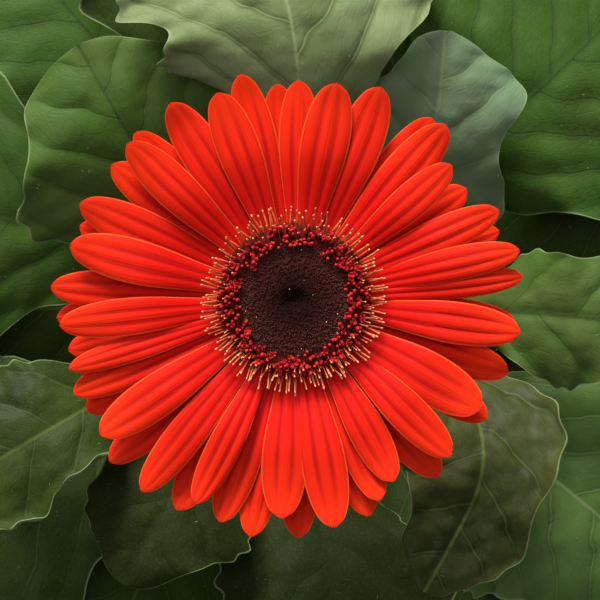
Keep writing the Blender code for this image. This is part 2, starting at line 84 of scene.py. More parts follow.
# Pot and soil
POT_BASE_RADIUS = 50 * MM
RIM_BAND_HEIGHT = 22 * MM
RIM_STEP = 3 * MM
BAND_TAPER = 1.5 * MM
POT_WALL = 6 * MM
POT_FLOOR = 8 * MM
POT_SIDES = 112
DRAIN_HOLES = 3
DRAIN_RADIUS = 4.5 * MM
DRAIN_CIRCLE = 26 * MM
DRAIN_SIDES = 32
POT_ROUNDING = 1.8 * MM
SOIL_EDGE_HEIGHT = 105 * MM
SOIL_MOUND = 3 * MM
SOIL_CLEARANCE = 0.4 * MM
SOIL_RINGS = 34
SOIL_SIDES = 96
SOIL_LUMP_SIZE = 9 * MM
SOIL_LUMP_HEIGHT = 1.1 * MM

# Flower stem, receptacle and bracts
STEM_FOOT = (3.5 * MM, -2.5 * MM)
STEM_RADIUS = 3.0 * MM
STEM_DEPTH = 8 * MM
STEM_RINGS = 44
STEM_SIDES = 30
STEM_RIBS = 10
STEM_RIB_HEIGHT = 0.1 * MM
STEM_NECK_SWELL = 0.25 * MM
CUP_PROFILE = (
    (0, 0), (0, 15.2 * MM), (0.5 * MM, 15.5 * MM), (1.4 * MM, 15.4 * MM), (5 * MM, 13.3 * MM),
    (9 * MM, 9.2 * MM), (11.6 * MM, 5.2 * MM), (13.6 * MM, 3.6 * MM), (15 * MM, 2.9 * MM), (15 * MM, 0),
)
CUP_SIDES = 60
BractRow = namedtuple("BractRow", "foot tip lift offset width")
BRACT_ROWS = (
    BractRow(7.2 * MM, 0.5 * MM, 0.5 * MM, 0.0, 4.0 * MM),
    BractRow(10.4 * MM, 2.6 * MM, 1.0 * MM, 0.5, 4.2 * MM),
    BractRow(13.2 * MM, 6.0 * MM, 1.5 * MM, 0.2, 4.0 * MM),
)
# Rows along and spans across of a bract's mesh
BRACT_MESH = (12, 6)
BRACT_THICKNESS = 0.55 * MM
BRACT_CLEARANCE = 0.35 * MM
BRACT_KEEL = 0.35 * MM

# Ray florets: clockwise angle from +Y in degrees, reach in mm and width in mm
RAY_ROOT = 13.2 * MM
RAY_SKIN = 0.35 * MM
RAY_ROWS = 31
RAY_SPANS = 18
FRONT_RAYS = (
    (11, 47, 10.4), (50, 44, 7.7), (66, 47.5, 7.7), (77, 49, 7.3), (84.5, 49, 6.4),
    (98, 48.5, 9.0), (119.5, 46, 10.8), (134.5, 47, 8.5), (150.5, 44, 8.1),
    (169.5, 49, 9.6), (183.5, 46.5, 9.8), (205, 48, 7.3), (219, 52, 8.1),
    (235, 50, 9.4), (253.5, 50, 5.8), (264.5, 50, 8.1), (283.5, 49, 9.6),
    (313, 48.5, 9.0), (340, 47, 9.4),
)
MIDDLE_RAYS = (
    (2, 47, 8.5), (23, 49, 10.0), (41, 49.5, 9.6), (156, 46.5, 8.0), (198, 50, 8.5),
    (247.5, 51, 8.0), (273.5, 52, 8.5), (295, 50, 9.0), (307, 48.5, 8.5),
    (328.5, 49.5, 9.5), (347.5, 49.5, 8.5),
)
BACK_RAYS = (
    (37, 49, 8.5), (56.5, 44, 8.0), (71.5, 46.5, 7.5), (96, 48, 8.5), (109, 48.5, 8.5),
    (121.5, 48.5, 8.5), (141, 49, 9.0), (161, 49, 8.5), (178.5, 51, 9.0), (190, 51.5, 8.5), (209, 51.5, 9.0),
    (228.5, 52.5, 8.5), (242, 50.5, 8.5), (257, 49.5, 8.0), (265, 51, 9.0), (289.5, 48.5, 8.5),
    (316.5, 49.5, 8.5), (347, 47, 9.0), (355.5, 46.5, 8.0),
)
# Each layer: its rays, and heights over the receptacle of its roots, shoulders and tips
RayLayer = namedtuple("RayLayer", "rays root shoulder tip")
RAY_LAYERS = (
    RayLayer(FRONT_RAYS, 3.0 * MM, 8.2 * MM, 8.4 * MM),
    RayLayer(MIDDLE_RAYS, 2.0 * MM, 5.4 * MM, 5.7 * MM),
    RayLayer(BACK_RAYS, 1.2 * MM, 2.9 * MM, 3.0 * MM),
)
RAY_SHOULDER_AT = 0.6
RAY_WIDEST_AT = 0.62
RAY_ARCH = 0.5 * MM
RAY_STAGGER = 1.1 * MM
RAY_ROLL = 0.09
RAY_BEND = 0.7 * MM
RAY_POINT = 0.35 * MM
RAY_FLUTTER = 0.25 * MM
# The floor of the ring between the disc and the rays: radii, and heights over the receptacle
RING_PROFILE = (
    (0, 4.0 * MM), (11.0 * MM, 4.0 * MM), (11.6 * MM, 5.2 * MM), (13.2 * MM, 5.5 * MM),
    (15.2 * MM, 5.2 * MM), (16.4 * MM, 4.2 * MM), (16.6 * MM, 2.0 * MM), (16.0 * MM, 0.3 * MM),
    (0, 0.3 * MM),
)
RING_SIDES = 72

# Disc florets
DISC_RADIUS = 11.7 * MM
DISC_EDGE_HEIGHT = 5.4 * MM
DISC_DOME = 1.4 * MM
DISC_PIT_DEPTH = 1.8 * MM
DISC_PIT_RADIUS = 3.4 * MM
DISC_BASE_RINGS = 22
DISC_BASE_SIDES = 64
DISC_BASE_SINK = 0.05 * MM
DISC_FOOT = 0.4 * MM
GOLDEN_TURN = pi * (3 - 5 ** 0.5)

# Profiles of the closed florets, as shares of their size: radius and height
BUD_PROFILE = ((0, 1.15), (0.16, 0.98), (0.40, 0.62), (0.46, 0.2), (0.34, -0.5), (0, -0.5))
CLOSED_PROFILE = ((0, 1.0), (0.1, 0.95), (0.17, 0.8), (0.18, 0.6), (0.12, 0.35), (0.1, -0.3), (0, -0.3))

# Rings round the disc: radii, height over the receptacle, its spread, and lengths in mm; leans in degrees
Ring = namedtuple("Ring", "name inner outer height spread lean_in lean_out lean_spread "
                          "shortest longest seed")
FLORET_RING = Ring("crimson_florets", 11.6, 15.0, 6.0, 0.3, -12, 38, 16, 1.7, 2.6, 40)
OUTER_STAMENS = Ring("stamens_outer", 15.0, 16.6, 5.2, 0.2, 46, 66, 12, 3.4, 4.6, 60)
INNER_STAMENS = Ring("stamens_inner", 13.6, 15.2, 5.2, 0.2, 14, 44, 12, 3.0, 4.2, 75)

# Leaves: azimuth, turn, roll and curl in degrees, phase of the waved edge in turns, green names the
# finish, lobe and crinkle are shares of the usual depth and unevenness, the rest in mm
Leaf = namedtuple("Leaf", "name azimuth turn foot stalk reach rise half_width droop roll phase green "
                          "lobe crinkle curl", defaults=(1.0, 1.0, 0.0))
LEAVES = (
    Leaf("leaf_low_1", 3, 10, 26, 9, 104, 33, 37, 34, 4, 0.10, "deep"),
    Leaf("leaf_low_2", 64, -8, 33, 9, 98, 36, 33, 30, -4, 0.45, "deep"),
    Leaf("leaf_low_3", 127, 8, 33, 9, 106, 33, 33, 34, 4, 0.80, "bright"),
    Leaf("leaf_low_4", 182, -8, 33, 9, 98, 35, 33, 32, 4, 0.25, "deep"),
    Leaf("leaf_low_5", 241, 8, 33, 9, 102, 32, 33, 28, -4, 0.60, "deep"),
    Leaf("leaf_low_6", 302, -8, 33, 9, 106, 36, 33, 34, 3, 0.95, "deep"),
    Leaf("leaf_mid_1", 40, 6, 22, 16, 112, 54, 38, 20, 4, 0.15, "bright"),
    Leaf("leaf_mid_2", 104, -8, 22, 16, 112, 49, 31, 18, 4, 0.50, "deep"),
    Leaf("leaf_mid_3", 164, 10, 22, 16, 108, 54, 31, 20, -4, 0.85, "bright"),
    Leaf("leaf_mid_4", 214, -6, 22, 16, 108, 49, 31, 20, 4, 0.30, "deep"),
    Leaf("leaf_mid_5", 277, 2, 22, 16, 90, 54, 27, 20, -3, 0.65, "gloom"),
    Leaf("leaf_mid_6", 326, -8, 22, 16, 112, 49, 32, 18, 4, 0.05, "fresh"),
    Leaf("leaf_top_1", 88, 30, 11.5, 20, 114, 80, 34, 18, 2, 0.20, "olive", lobe=1.3),
    Leaf("leaf_top_2", 139, -20, 12.5, 16, 66, 69, 30, 12, 4, 0.30, "dark", crinkle=0.6),
    Leaf("leaf_top_3", 43, 42, 13.5, 12, 62, 67, 21.5, 12, -4, 1.0, "bluish", lobe=2.0),
    Leaf("leaf_top_4", 357, -4, 12.5, 20, 96, 70, 16, 18, 4, 0.35, "dark"),
    Leaf("leaf_top_5", 336, -94, 11.5, 22, 83, 80, 18.5, 18, 4, 0.30, "shaded",
         lobe=1.3, crinkle=2.8, curl=60.0),
    Leaf("leaf_top_6", 237, 4, 13.5, 18, 64, 66, 20, 12, 4, 0.12, "gloom"),
    Leaf("leaf_top_7", 207, 6, 12.0, 24, 100, 77, 18, 18, 8, 0.47, "deep", crinkle=1.4, curl=150.0),
)
# Rows along and spans across of a leaf's mesh, by tier
LEAF_MESH = {"low": (62, 26), "mid": (90, 38), "top": (120, 50)}
STALK_RADIUS = 2.1 * MM
STALK_DEPTH = 9.4 * MM
STALK_HOLLOW = 0.8 * MM
PATH_STEPS = 60
TURN_FROM = 0.15
TURN_TO = 0.80
LEAF_PEAK_AT = 58 * MM
DROOP_RUN = 50 * MM
LEAF_RISE_POWER = 2.2
LEAF_SKIN = 0.45 * MM
LEAF_CAMBER = 2.6 * MM
LEAF_WAVE = 2.4 * MM
LOBE_LENGTH = 27 * MM
LOBE_DEPTH = 0.11
EDGE_SHIFT = 0.2
TIP_WIDTH = 1.6 * MM
TOOTH_LENGTH = 7.5 * MM
TOOTH_DEPTH = 0.028
MIDRIB_DEPTH = 1.6 * MM
MIDRIB_WIDTH = 1.5 * MM
MIDRIB_CHANNEL = 0.55 * MM
SIDE_VEIN_DEPTH = 0.35 * MM
BROAD_SWELL = 16 * MM
SMALL_SWELL = 5 * MM
RUFFLE_RATE = 2.6
# Side veins leave the midrib at a slant and bend towards the tip; the left ones start half a step on
VEIN_SPACING = 12.5 * MM
VEIN_LEAN = 0.72
VEIN_BEND = 9.0
VEIN_WANDER = 0.2
# Where across the blade its curled margin starts, as a share of the half width
CURL_FROM = 0.66

# Camera: over the bloom, at the height that gives the photograph's perspective
PHOTO_SIDE = 600
BLOOM_PIXEL = (294, 300)
CAMERA_RISE = 600 * MM
PIXEL_SIZE = 0.213 * MM
PETAL_LEVEL = BLOOM_HEIGHT + 6 * MM

# Lamps and floor, in metres
KEY_PLACE = (-0.84, 3.76, 2.37)
KEY_SIDE = 1.8
FILL_PLACE = (-0.3, 0.5, 2.6)
FILL_SIDE = 1.6
FLOOR_HALF = 4.0


def picture_colour(red, green, blue):
    """A colour as a picture shows it, 0 to 255, in linear light."""
    shares = [value / 255 for value in (red, green, blue)]
    return tuple(x / 12.92 if x <= 0.04045 else ((x + 0.055) / 1.055) ** 2.4 for x in shares)


def smoothstep(low, high, value):
    share = np.clip((value - low) / (high - low), 0.0, 1.0)
    return share * share * (3 - 2 * share)


# Meshes

class Heap:
    """Gathers the points, faces and point values of many shapes into one mesh."""

    def __init__(self):
        self.points = []
        self.faces = []
        self.values = {}
        self.count = 0

    def add(self, points, faces, **values):
        points = np.asarray(points, float).reshape(-1, 3)
        self.points.append(points)
        self.faces += [[corner + self.count for corner in face] for face in faces]
        for name, value in values.items():
            self.values.setdefault(name, []).append(np.asarray(value, float))
        self.count += len(points)

    def to_mesh(self, name, sharp=50):
        mesh = bpy.data.meshes.new(name)
        mesh.from_pydata(np.concatenate(self.points).tolist(), [], self.faces)
        for key, parts in self.values.items():
            values = np.concatenate(parts).astype(np.float32)
            kind, field = ("FLOAT", "value") if values.ndim == 1 else ("FLOAT_VECTOR", "vector")
            mesh.attributes.new(key, kind, "POINT").data.foreach_set(field, values.ravel())
        mesh.shade_smooth()
        mesh.set_sharp_from_angle(angle=radians(sharp))
        mesh.update()
        return mesh

    def to_object(self, name, material=None, sharp=50):
        mesh = self.to_mesh(name, sharp)
        if material:
            mesh.materials.append(material)
        made = bpy.data.objects.new(name, mesh)
        bpy.context.scene.collection.objects.link(made)
        return made


def mesh_of(name, points, faces, **values):
    """A mesh of one shape, with its point values."""
    heap = Heap()
    heap.add(points, faces, **values)
    return heap.to_mesh(name)


def object_of(name, points, faces, material=None, sharp=50, **values):
    """An object of one shape, with its material and its point values."""
    heap = Heap()
    heap.add(points, faces, **values)
    return heap.to_object(name, material, sharp)


def shell_faces(rows, columns):
    """Faces of a closed thin shell: a grid on top, the same grid under it, and the rim."""
    under = rows * columns
    faces = []
    for row in range(rows - 1):
        for column in range(columns - 1):
            near = row * columns + column
            far = near + columns
            faces.append((near, far, far + 1, near + 1))
            faces.append((near + under, near + 1 + under, far + 1 + under, far + under))
    last = (rows - 1) * columns
    rim = [(column + 1, column) for column in range(columns - 1)]
    rim += [(last + column, last + column + 1) for column in range(columns - 1)]
    for start in range(0, last, columns):
        rim.append((start, start + columns))
        rim.append((start + 2 * columns - 1, start + columns - 1))
    faces += [(end, start, start + under, end + under) for start, end in rim]
    return faces


def tube_faces(rings, sides):
    """Faces of a closed tube of rings, each ring turning leftwards about the tube's way."""
    faces = [tuple(range(sides))[::-1], tuple(range((rings - 1) * sides, rings * sides))]
    for ring in range(rings - 1):
        for side in range(sides):
            near = ring * sides + side
            beside = ring * sides + (side + 1) % sides
            faces.append((near, beside, beside + sides, near + sides))
    return faces


def tube(line, radii, sides):
    """Points of a tube along a line that rises; each ring lies square to the line."""
    line = np.asarray(line, float)
    ahead = np.gradient(line, axis=0)
    ahead /= np.linalg.norm(ahead, axis=1)[:, None]
    first = np.cross(ahead, (0.0, 1.0, 0.0))
    first = -np.cross(ahead, first / np.linalg.norm(first, axis=1)[:, None])
    second = np.cross(ahead, first)
    around = np.linspace(0, 2 * pi, sides, endpoint=False)
    radii = np.broadcast_to(np.asarray(radii, float), (len(line),))
    turns = around[None, :, None]
    spokes = first[:, None] * np.cos(turns) + second[:, None] * np.sin(turns)
    return (line[:, None] + spokes * radii[:, None, None]).reshape(-1, 3)


def turned(profile, sides):
    """Points and faces of a shape turned round Z; the profile starts and ends on the axis."""
    around = np.linspace(0, 2 * pi, sides, endpoint=False)
    rings = profile[1:-1]
    points = [(0, 0, profile[0][1]), (0, 0, profile[-1][1])]
    for radius, height in rings:
        points += [(radius * cos(turn), radius * sin(turn), height) for turn in around]
    faces = []
    last = 2 + (len(rings) - 1) * sides
    for side in range(sides):
        beside = (side + 1) % sides
        faces.append((0, 2 + side, 2 + beside))
        faces.append((1, last + beside, last + side))
        for ring in range(len(rings) - 1):
            start = 2 + ring * sides
            faces.append((start + side, start + sides + side, start + sides + beside, start + beside))
    return np.array(points), faces


def rounded(profile, radius, steps=4):
    """Rounds the corners of a profile of (radius, height) points with short arcs."""
    made = [profile[0]]
    for before, corner, after in zip(profile, profile[1:], profile[2:]):
        before, corner, after = (np.array(point, float) for point in (before, corner, after))
        back = before - corner
        on = after - corner
        reach = min(radius, np.linalg.norm(back) / 2, np.linalg.norm(on) / 2)
        start = corner + back / np.linalg.norm(back) * reach
        end = corner + on / np.linalg.norm(on) * reach
        for step in range(steps + 1):
            share = step / steps
            point = (1 - share) ** 2 * start + 2 * share * (1 - share) * corner + share ** 2 * end
            made.append(tuple(point))
    made.append(profile[-1])
    return made


def ride_and_replace(piece, slot, *nodes):
    """Puts a finished piece on the one body, in the place of its frame nodes."""
    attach(piece, "root")
    if nodes:
        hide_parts(*nodes)
    return piece


# Node trees

class NodeSheet:
    """Adds nodes to a material or a geometry tree and joins them up."""

    def __init__(self, tree):
        self.tree = tree

    def put(self, socket, value):
        if isinstance(value, bpy.types.Node):
            value = next(output for output in value.outputs if output.enabled)
        if isinstance(value, bpy.types.NodeSocket):
            self.tree.links.new(value, socket)
        elif socket.type == "RGBA":
            socket.default_value = (*value[:3], 1.0)
        else:
            socket.default_value = value

    def add(self, kind, inputs=None, **settings):
        node = self.tree.nodes.new(kind)
        for name, value in settings.items():
            setattr(node, name, value)
        for name, value in (inputs or {}).items():
            self.put(next(s for s in node.inputs if s.enabled and name in (s.name, s.identifier)), value)
        return node

    def math(self, operation, *values):
        node = self.tree.nodes.new("ShaderNodeMath")
        node.operation = operation
        for socket, value in zip(node.inputs, values):
            self.put(socket, value)
        return node.outputs[0]

    def times(self, first, second):
        return self.math("MULTIPLY", first, second)

    def plus(self, first, second):
        return self.math("ADD", first, second)

    def minus(self, first, second):
        return self.math("SUBTRACT", first, second)

    def between(self, value, low, high, start=0.0, end=1.0):
        """A smooth step from start to end as the value goes from low to high."""
        inputs = {"Value": value, "From Min": low, "From Max": high, "To Min": start, "To Max": end}
        return self.add("ShaderNodeMapRange", inputs, interpolation_type="SMOOTHSTEP").outputs[0]

    def mix(self, share, first, second):
        node = self.add("ShaderNodeMix", data_type="RGBA")
        for identifier, value in (("Factor_Float", share), ("A_Color", first), ("B_Color", second)):
            self.put(next(s for s in node.inputs if s.identifier == identifier), value)
        return next(s for s in node.outputs if s.identifier == "Result_Color")

    def ramp(self, share, *stops):
        """Colours at places from 0 to 1, blended between."""
        node = self.add("ShaderNodeValToRGB", {"Fac": share})
        elements = node.color_ramp.elements
        while len(elements) < len(stops):
            elements.new(0.5)
        for element, (place, colour) in zip(elements, stops):
            element.position = place
            element.color = (*colour, 1.0)
        return node.outputs["Color"]

    def vector(self, x=0.0, y=0.0, z=0.0):
        return self.add("ShaderNodeCombineXYZ", {"X": x, "Y": y, "Z": z}).outputs[0]

    def parts(self, vector):
        return self.add("ShaderNodeSeparateXYZ", {"Vector": vector}).outputs[:3]

    def noise(self, vector, scale, detail=2.0, roughness=0.5):
        inputs = {"Vector": vector, "Scale": scale, "Detail": detail, "Roughness": roughness}
        return self.add("ShaderNodeTexNoise", inputs).outputs[0]

    def cells(self, vector, scale):
        """The distance to the edges of irregular cells."""
        inputs = {"Vector": vector, "Scale": scale}
        return self.add("ShaderNodeTexVoronoi", inputs, feature="DISTANCE_TO_EDGE").outputs[0]

    def attribute(self, name, output="Fac"):
        return self.add("ShaderNodeAttribute", attribute_name=name).outputs[output]


class Finish(NodeSheet):
    """A material with one Principled shader; what is the same all over is set on its sockets."""

    def __init__(self, name, roughness, specular=0.5, sheen=0.0, sheen_tint=(1.0, 1.0, 1.0), glow=0.0):
        self.material = bpy.data.materials.new(name)
        self.material.use_nodes = True
        super().__init__(self.material.node_tree)
        self.shader = self.tree.nodes["Principled BSDF"]
        sockets = {"Roughness": roughness, "Specular IOR Level": specular, "Sheen Weight": sheen,
                   "Sheen Roughness": 0.4, "Sheen Tint": (*sheen_tint, 1.0),
                   "Subsurface Weight": glow, "Subsurface Scale": 1.2 * MM}
        for key, value in sockets.items():
            self.shader.inputs[key].default_value = value
        self.place = self.add("ShaderNodeTexCoord").outputs["Object"]

    def paint(self, colour, roughness=None, height=None, strength=0.3, distance=0.5 * MM):
        """Links the colour, and where given the roughness and a bump from the height."""
        self.put(self.shader.inputs["Base Color"], colour)
        if roughness is not None:
            self.put(self.shader.inputs["Roughness"], roughness)
        if height is not None:
            inputs = {"Strength": strength, "Distance": distance, "Height": height}
            self.put(self.shader.inputs["Normal"], self.add("ShaderNodeBump", inputs).outputs[0])
        return self.material


class RepeatTree(NodeSheet):
    """A geometry tree that sets variants of a shape on points; its inputs are its sizes and counts."""

    def __init__(self, name, *sizes, counts=()):
        super().__init__(bpy.data.node_groups.new(name, "GeometryNodeTree"))
        kinds = {"Geometry": "Geometry", "Variants": "Collection", "Seed": "Int", "Material": "Material"}
        kinds.update({key: "Int" for key in counts})
        kinds.update({key: "Float" for key in sizes})
        for key, kind in kinds.items():
            self.tree.interface.new_socket(key, in_out="INPUT", socket_type="NodeSocket" + kind)
        self.tree.interface.new_socket("Geometry", in_out="OUTPUT", socket_type="NodeSocketGeometry")
        entry = self.tree.nodes.new("NodeGroupInput")
        self.ins = {key: entry.outputs[key] for key in kinds}
        self.index = self.add("GeometryNodeInputIndex").outputs[0]

    def seed(self, draw):
        """The seed of one of the tree's random draws, which are numbered from 0."""
        return self.plus(self.ins["Seed"], draw)

    def random(self, low, high, draw):
        inputs = {"Min": low, "Max": high, "Seed": self.seed(draw)}
        return self.add("FunctionNodeRandomValue", inputs, data_type="FLOAT").outputs[1]

    def jitter(self, most, draw):
        """A random number from minus most to most."""
        return self.times(self.random(-1.0, 1.0, draw), most)

    def rotation(self, x, y, z):
        return self.add("FunctionNodeEulerToRotation", {"Euler": self.vector(x, y, z)})

    def rotated(self, rotation, then):
        """A rotation followed by another about its own turned axes."""
        inputs = {"Rotation": rotation, "Rotate By": then}
        return self.add("FunctionNodeRotateRotation", inputs, rotation_space="LOCAL")

    def outwards(self, lean, turn, twist):
        """Leans outwards, faces the turn, and twists round its own length."""
        return self.rotated(self.rotation(0.0, lean, turn), self.rotation(0.0, 0.0, twist))

    def spun_points(self, radius, turn, height):
        """Points in a ring or a spiral: radius, turn and height may change from point to point."""
        line = self.add("GeometryNodeMeshLine", {"Count": self.ins["Count"]})
        x = self.times(radius, self.math("COSINE", turn))
        y = self.times(radius, self.math("SINE", turn))
        inputs = {"Geometry": line, "Position": self.vector(x, y, height)}
        return self.add("GeometryNodeSetPosition", inputs)

    def place_variants(self, points, rotation, size, draw):
        """Puts a variant on every point, with a random tone that its points keep.

        The random number that picks the variant wraps round the number of variants.
        """
        inputs = {"Collection": self.ins["Variants"], "Separate Children": True, "Reset Children": True}
        variants = self.add("GeometryNodeCollectionInfo", inputs)
        inputs = {"Min": 0, "Max": 50, "Seed": self.seed(draw)}
        pick = self.add("FunctionNodeRandomValue", inputs, data_type="INT").outputs[2]
        inputs = {"Points": points, "Instance": variants, "Pick Instance": True, "Instance Index": pick,
                  "Rotation": rotation, "Scale": self.vector(size, size, size)}
        placed = self.add("GeometryNodeInstanceOnPoints", inputs)
        inputs = {"Geometry": placed, "Name": "tone", "Value": self.random(0.0, 1.0, draw + 1)}
        return self.add("GeometryNodeStoreNamedAttribute", inputs, data_type="FLOAT", domain="INSTANCE")

    def close(self, points, rotation, size, draw, with_base=False):
        """Ends the tree: variants on the points, made real, smooth and in the material."""
        placed = self.place_variants(points, rotation, size, draw)
        real = self.add("GeometryNodeRealizeInstances", {"Geometry": placed})
        if with_base:
            join = self.add("GeometryNodeJoinGeometry")
            self.put(join.inputs[0], real)
            self.put(join.inputs[0], self.ins["Geometry"])
            real = join
        smooth = self.add("GeometryNodeSetShadeSmooth", {"Geometry": real})
        inputs = {"Geometry": smooth, "Material": self.ins["Material"]}
        leave = self.tree.nodes.new("NodeGroupOutput")
        self.put(leave.inputs[0], self.add("GeometryNodeSetMaterial", inputs))
        return self.tree


def ring_tree():
    """A ring of repeats between two radii; the outer ones lean out more."""
    sheet = RepeatTree("ring of repeats", "Inner_Radius", "Outer_Radius", "Height", "Height_Spread",
                       "Lean_In", "Lean_Out", "Lean_Spread", "Size_From", "Size_To", counts=("Count",))
    ins = sheet.ins
    step = sheet.math("DIVIDE", 2 * pi, ins["Count"])
    turn = sheet.times(sheet.plus(sheet.index, sheet.random(-0.45, 0.45, 0)), step)
    radius = sheet.random(ins["Inner_Radius"], ins["Outer_Radius"], 1)
    height = sheet.plus(ins["Height"], sheet.jitter(ins["Height_Spread"], 2))
    inputs = {"Value": radius, "From Min": ins["Inner_Radius"], "From Max": ins["Outer_Radius"],
              "To Min": ins["Lean_In"], "To Max": ins["Lean_Out"]}
    lean = sheet.plus(sheet.add("ShaderNodeMapRange", inputs), sheet.jitter(ins["Lean_Spread"], 3))
    facing = sheet.plus(turn, sheet.jitter(0.2, 4))
    rotation = sheet.outwards(lean, facing, sheet.random(-0.8, 0.8, 5))
    size = sheet.random(ins["Size_From"], ins["Size_To"], 6)
    return sheet.close(sheet.spun_points(radius, turn, height), rotation, size, 7, with_base=True)


def spiral_tree():
    """The disc's rule: florets on a golden spiral over a low dome with a sunken middle."""
    sheet = RepeatTree("spiral of florets", "Radius", "Edge_Height", "Dome", "Pit_Depth", "Pit_Radius",
                       "Size", counts=("Count",))
    ins = sheet.ins
    share = sheet.math("SQRT", sheet.math("DIVIDE", sheet.plus(sheet.index, 0.5), ins["Count"]))
    radius = sheet.times(share, ins["Radius"])
    turn = sheet.times(sheet.index, GOLDEN_TURN)
    dome = sheet.times(ins["Dome"], sheet.minus(1.0, sheet.math("POWER", share, 4.0)))
    pit = sheet.times(ins["Pit_Depth"], sheet.between(radius, 0.0, ins["Pit_Radius"], 1.0, 0.0))
    height = sheet.minus(sheet.plus(ins["Edge_Height"], dome), pit)
    height = sheet.plus(height, sheet.random(-0.12 * MM, 0.12 * MM, 0))
    lean = sheet.plus(sheet.times(sheet.math("POWER", share, 3.0), 0.75), sheet.random(-0.15, 0.15, 1))
    rotation = sheet.outwards(lean, turn, sheet.random(0.0, 2 * pi, 2))
    grown = sheet.between(share, 0.1, 0.9, 0.75, 1.15)
    size = sheet.times(sheet.times(ins["Size"], grown), sheet.random(0.85, 1.15, 3))
    return sheet.close(sheet.spun_points(radius, turn, height), rotation, size, 4, with_base=True)


def round_tree():
    """Copies of one shape turned evenly round the Z axis."""
    sheet = RepeatTree("round the axis", "Start", counts=("Count",))
    step = sheet.math("DIVIDE", 2 * pi, sheet.ins["Count"])
    turn = sheet.times(sheet.plus(sheet.index, sheet.ins["Start"]), step)
    turn = sheet.plus(turn, sheet.random(-0.05, 0.05, 0))
    inputs = {"Count": sheet.ins["Count"], "Offset": (0.0, 0.0, 0.0)}
    line = sheet.add("GeometryNodeMeshLine", inputs)
    return sheet.close(line, sheet.rotation(0.0, 0.0, turn), 1.0, 0)


def scatter_tree():
    """Small things strewn over a surface: hairs stand along its normal, crumbs lie any way."""
    sheet = RepeatTree("strewn on a surface", "Density", "Lean", "Sink", "Size_From", "Size_To")
    ins = sheet.ins
    inputs = {"Mesh": ins["Geometry"], "Density": ins["Density"], "Seed": ins["Seed"]}
    spread = sheet.add("GeometryNodeDistributePointsOnFaces", inputs)
    turn = sheet.random(0.0, 2 * pi, 2)
    tilt = sheet.rotation(sheet.jitter(ins["Lean"], 0), sheet.jitter(ins["Lean"], 1), turn)
    rotation = sheet.rotated(spread.outputs["Rotation"], tilt)
    size = sheet.random(ins["Size_From"], ins["Size_To"], 3)
    sunk = sheet.add("ShaderNodeVectorMath", {"Vector": spread.outputs["Normal"]}, operation="SCALE")
    sheet.put(sunk.inputs["Scale"], sheet.times(sheet.times(ins["Sink"], size), -1.0))
    inputs = {"Geometry": spread.outputs["Points"], "Offset": sunk.outputs[0]}
    return sheet.close(sheet.add("GeometryNodeSetPosition", inputs), rotation, size, 4)


def grow(tree, name, variants, base=None, **inputs):
    """Runs a tree on a base mesh, keeps the result as a plain mesh and clears the variants away."""
    mesh = base if base else bpy.data.meshes.new(name)
    made = bpy.data.objects.new(name, mesh)
    bpy.context.scene.collection.objects.link(made)
    shelf = bpy.data.collections.new(name + " variants")
    for variant in variants:
        for home in list(variant.users_collection):
            home.objects.unlink(variant)
        shelf.objects.link(variant)
    modifier = made.modifiers.new("grow", "NODES")
    modifier.node_group = tree
    sockets = {item.name: item.identifier for item in tree.interface.items_tree if item.in_out == "INPUT"}
    modifier[sockets["Variants"]] = shelf
    for key, value in inputs.items():
        modifier[sockets[key]] = value
    graph = bpy.context.evaluated_depsgraph_get()
    grown = bpy.data.meshes.new_from_object(made.evaluated_get(graph))
    made.modifiers.remove(modifier)
    made.data = grown
    grown.name = name
    for variant in variants:
        bpy.data.objects.remove(variant, do_unlink=True)
    bpy.data.collections.remove(shelf)
    if not grown.polygons:
        raise RuntimeError(f"{name} came out empty")
    return made


# Pot and soil

def inner_pot_radius(height):
    outer = POT_BASE_RADIUS + (POT_RIM_RADIUS - RIM_STEP - POT_BASE_RADIUS) * height / POT_HEIGHT
    return outer - POT_WALL


def soil_height(radius):
    edge = inner_pot_radius(SOIL_EDGE_HEIGHT)
    return SOIL_EDGE_HEIGHT + SOIL_MOUND * (1 - (radius / edge) ** 2)


def pot_profile():
    """Down from the middle of the inner floor, up the wall, over the rim and down outside."""
    band = POT_HEIGHT - RIM_BAND_HEIGHT
    corners = [
        (0, POT_FLOOR), (inner_pot_radius(POT_FLOOR), POT_FLOOR),
        (inner_pot_radius(POT_HEIGHT), POT_HEIGHT),
        (POT_RIM_RADIUS, POT_HEIGHT), (POT_RIM_RADIUS - BAND_TAPER, band),
        (inner_pot_radius(band) + POT_WALL, band), (POT_BASE_RADIUS, 0), (0, 0),
    ]
    return rounded(corners, POT_ROUNDING)


def bore_drain_holes(pot):
    """Cuts the drain holes through the base with round cutters, which are then removed."""
    drills = bpy.data.collections.new("drain drills")
    bpy.context.scene.collection.children.link(drills)
    for index in range(DRAIN_HOLES):
        turn = 2 * pi * (index + 0.5) / DRAIN_HOLES
        points, faces = turned([(0, 2 * POT_FLOOR), (DRAIN_RADIUS, 2 * POT_FLOOR),
                                (DRAIN_RADIUS, -POT_FLOOR), (0, -POT_FLOOR)], DRAIN_SIDES)
        place = (DRAIN_CIRCLE * cos(turn), DRAIN_CIRCLE * sin(turn), 0)
        drill = object_of(f"drill_{index + 1}", points + place, faces)
        bpy.context.scene.collection.objects.unlink(drill)
        drills.objects.link(drill)
    carve = pot.modifiers.new("drain", "BOOLEAN")
    carve.operand_type = "COLLECTION"
    carve.collection = drills
    graph = bpy.context.evaluated_depsgraph_get()
    pot.data = bpy.data.meshes.new_from_object(pot.evaluated_get(graph))
    pot.modifiers.clear()
    for drill in list(drills.objects):
        bpy.data.objects.remove(drill, do_unlink=True)
    bpy.data.collections.remove(drills)


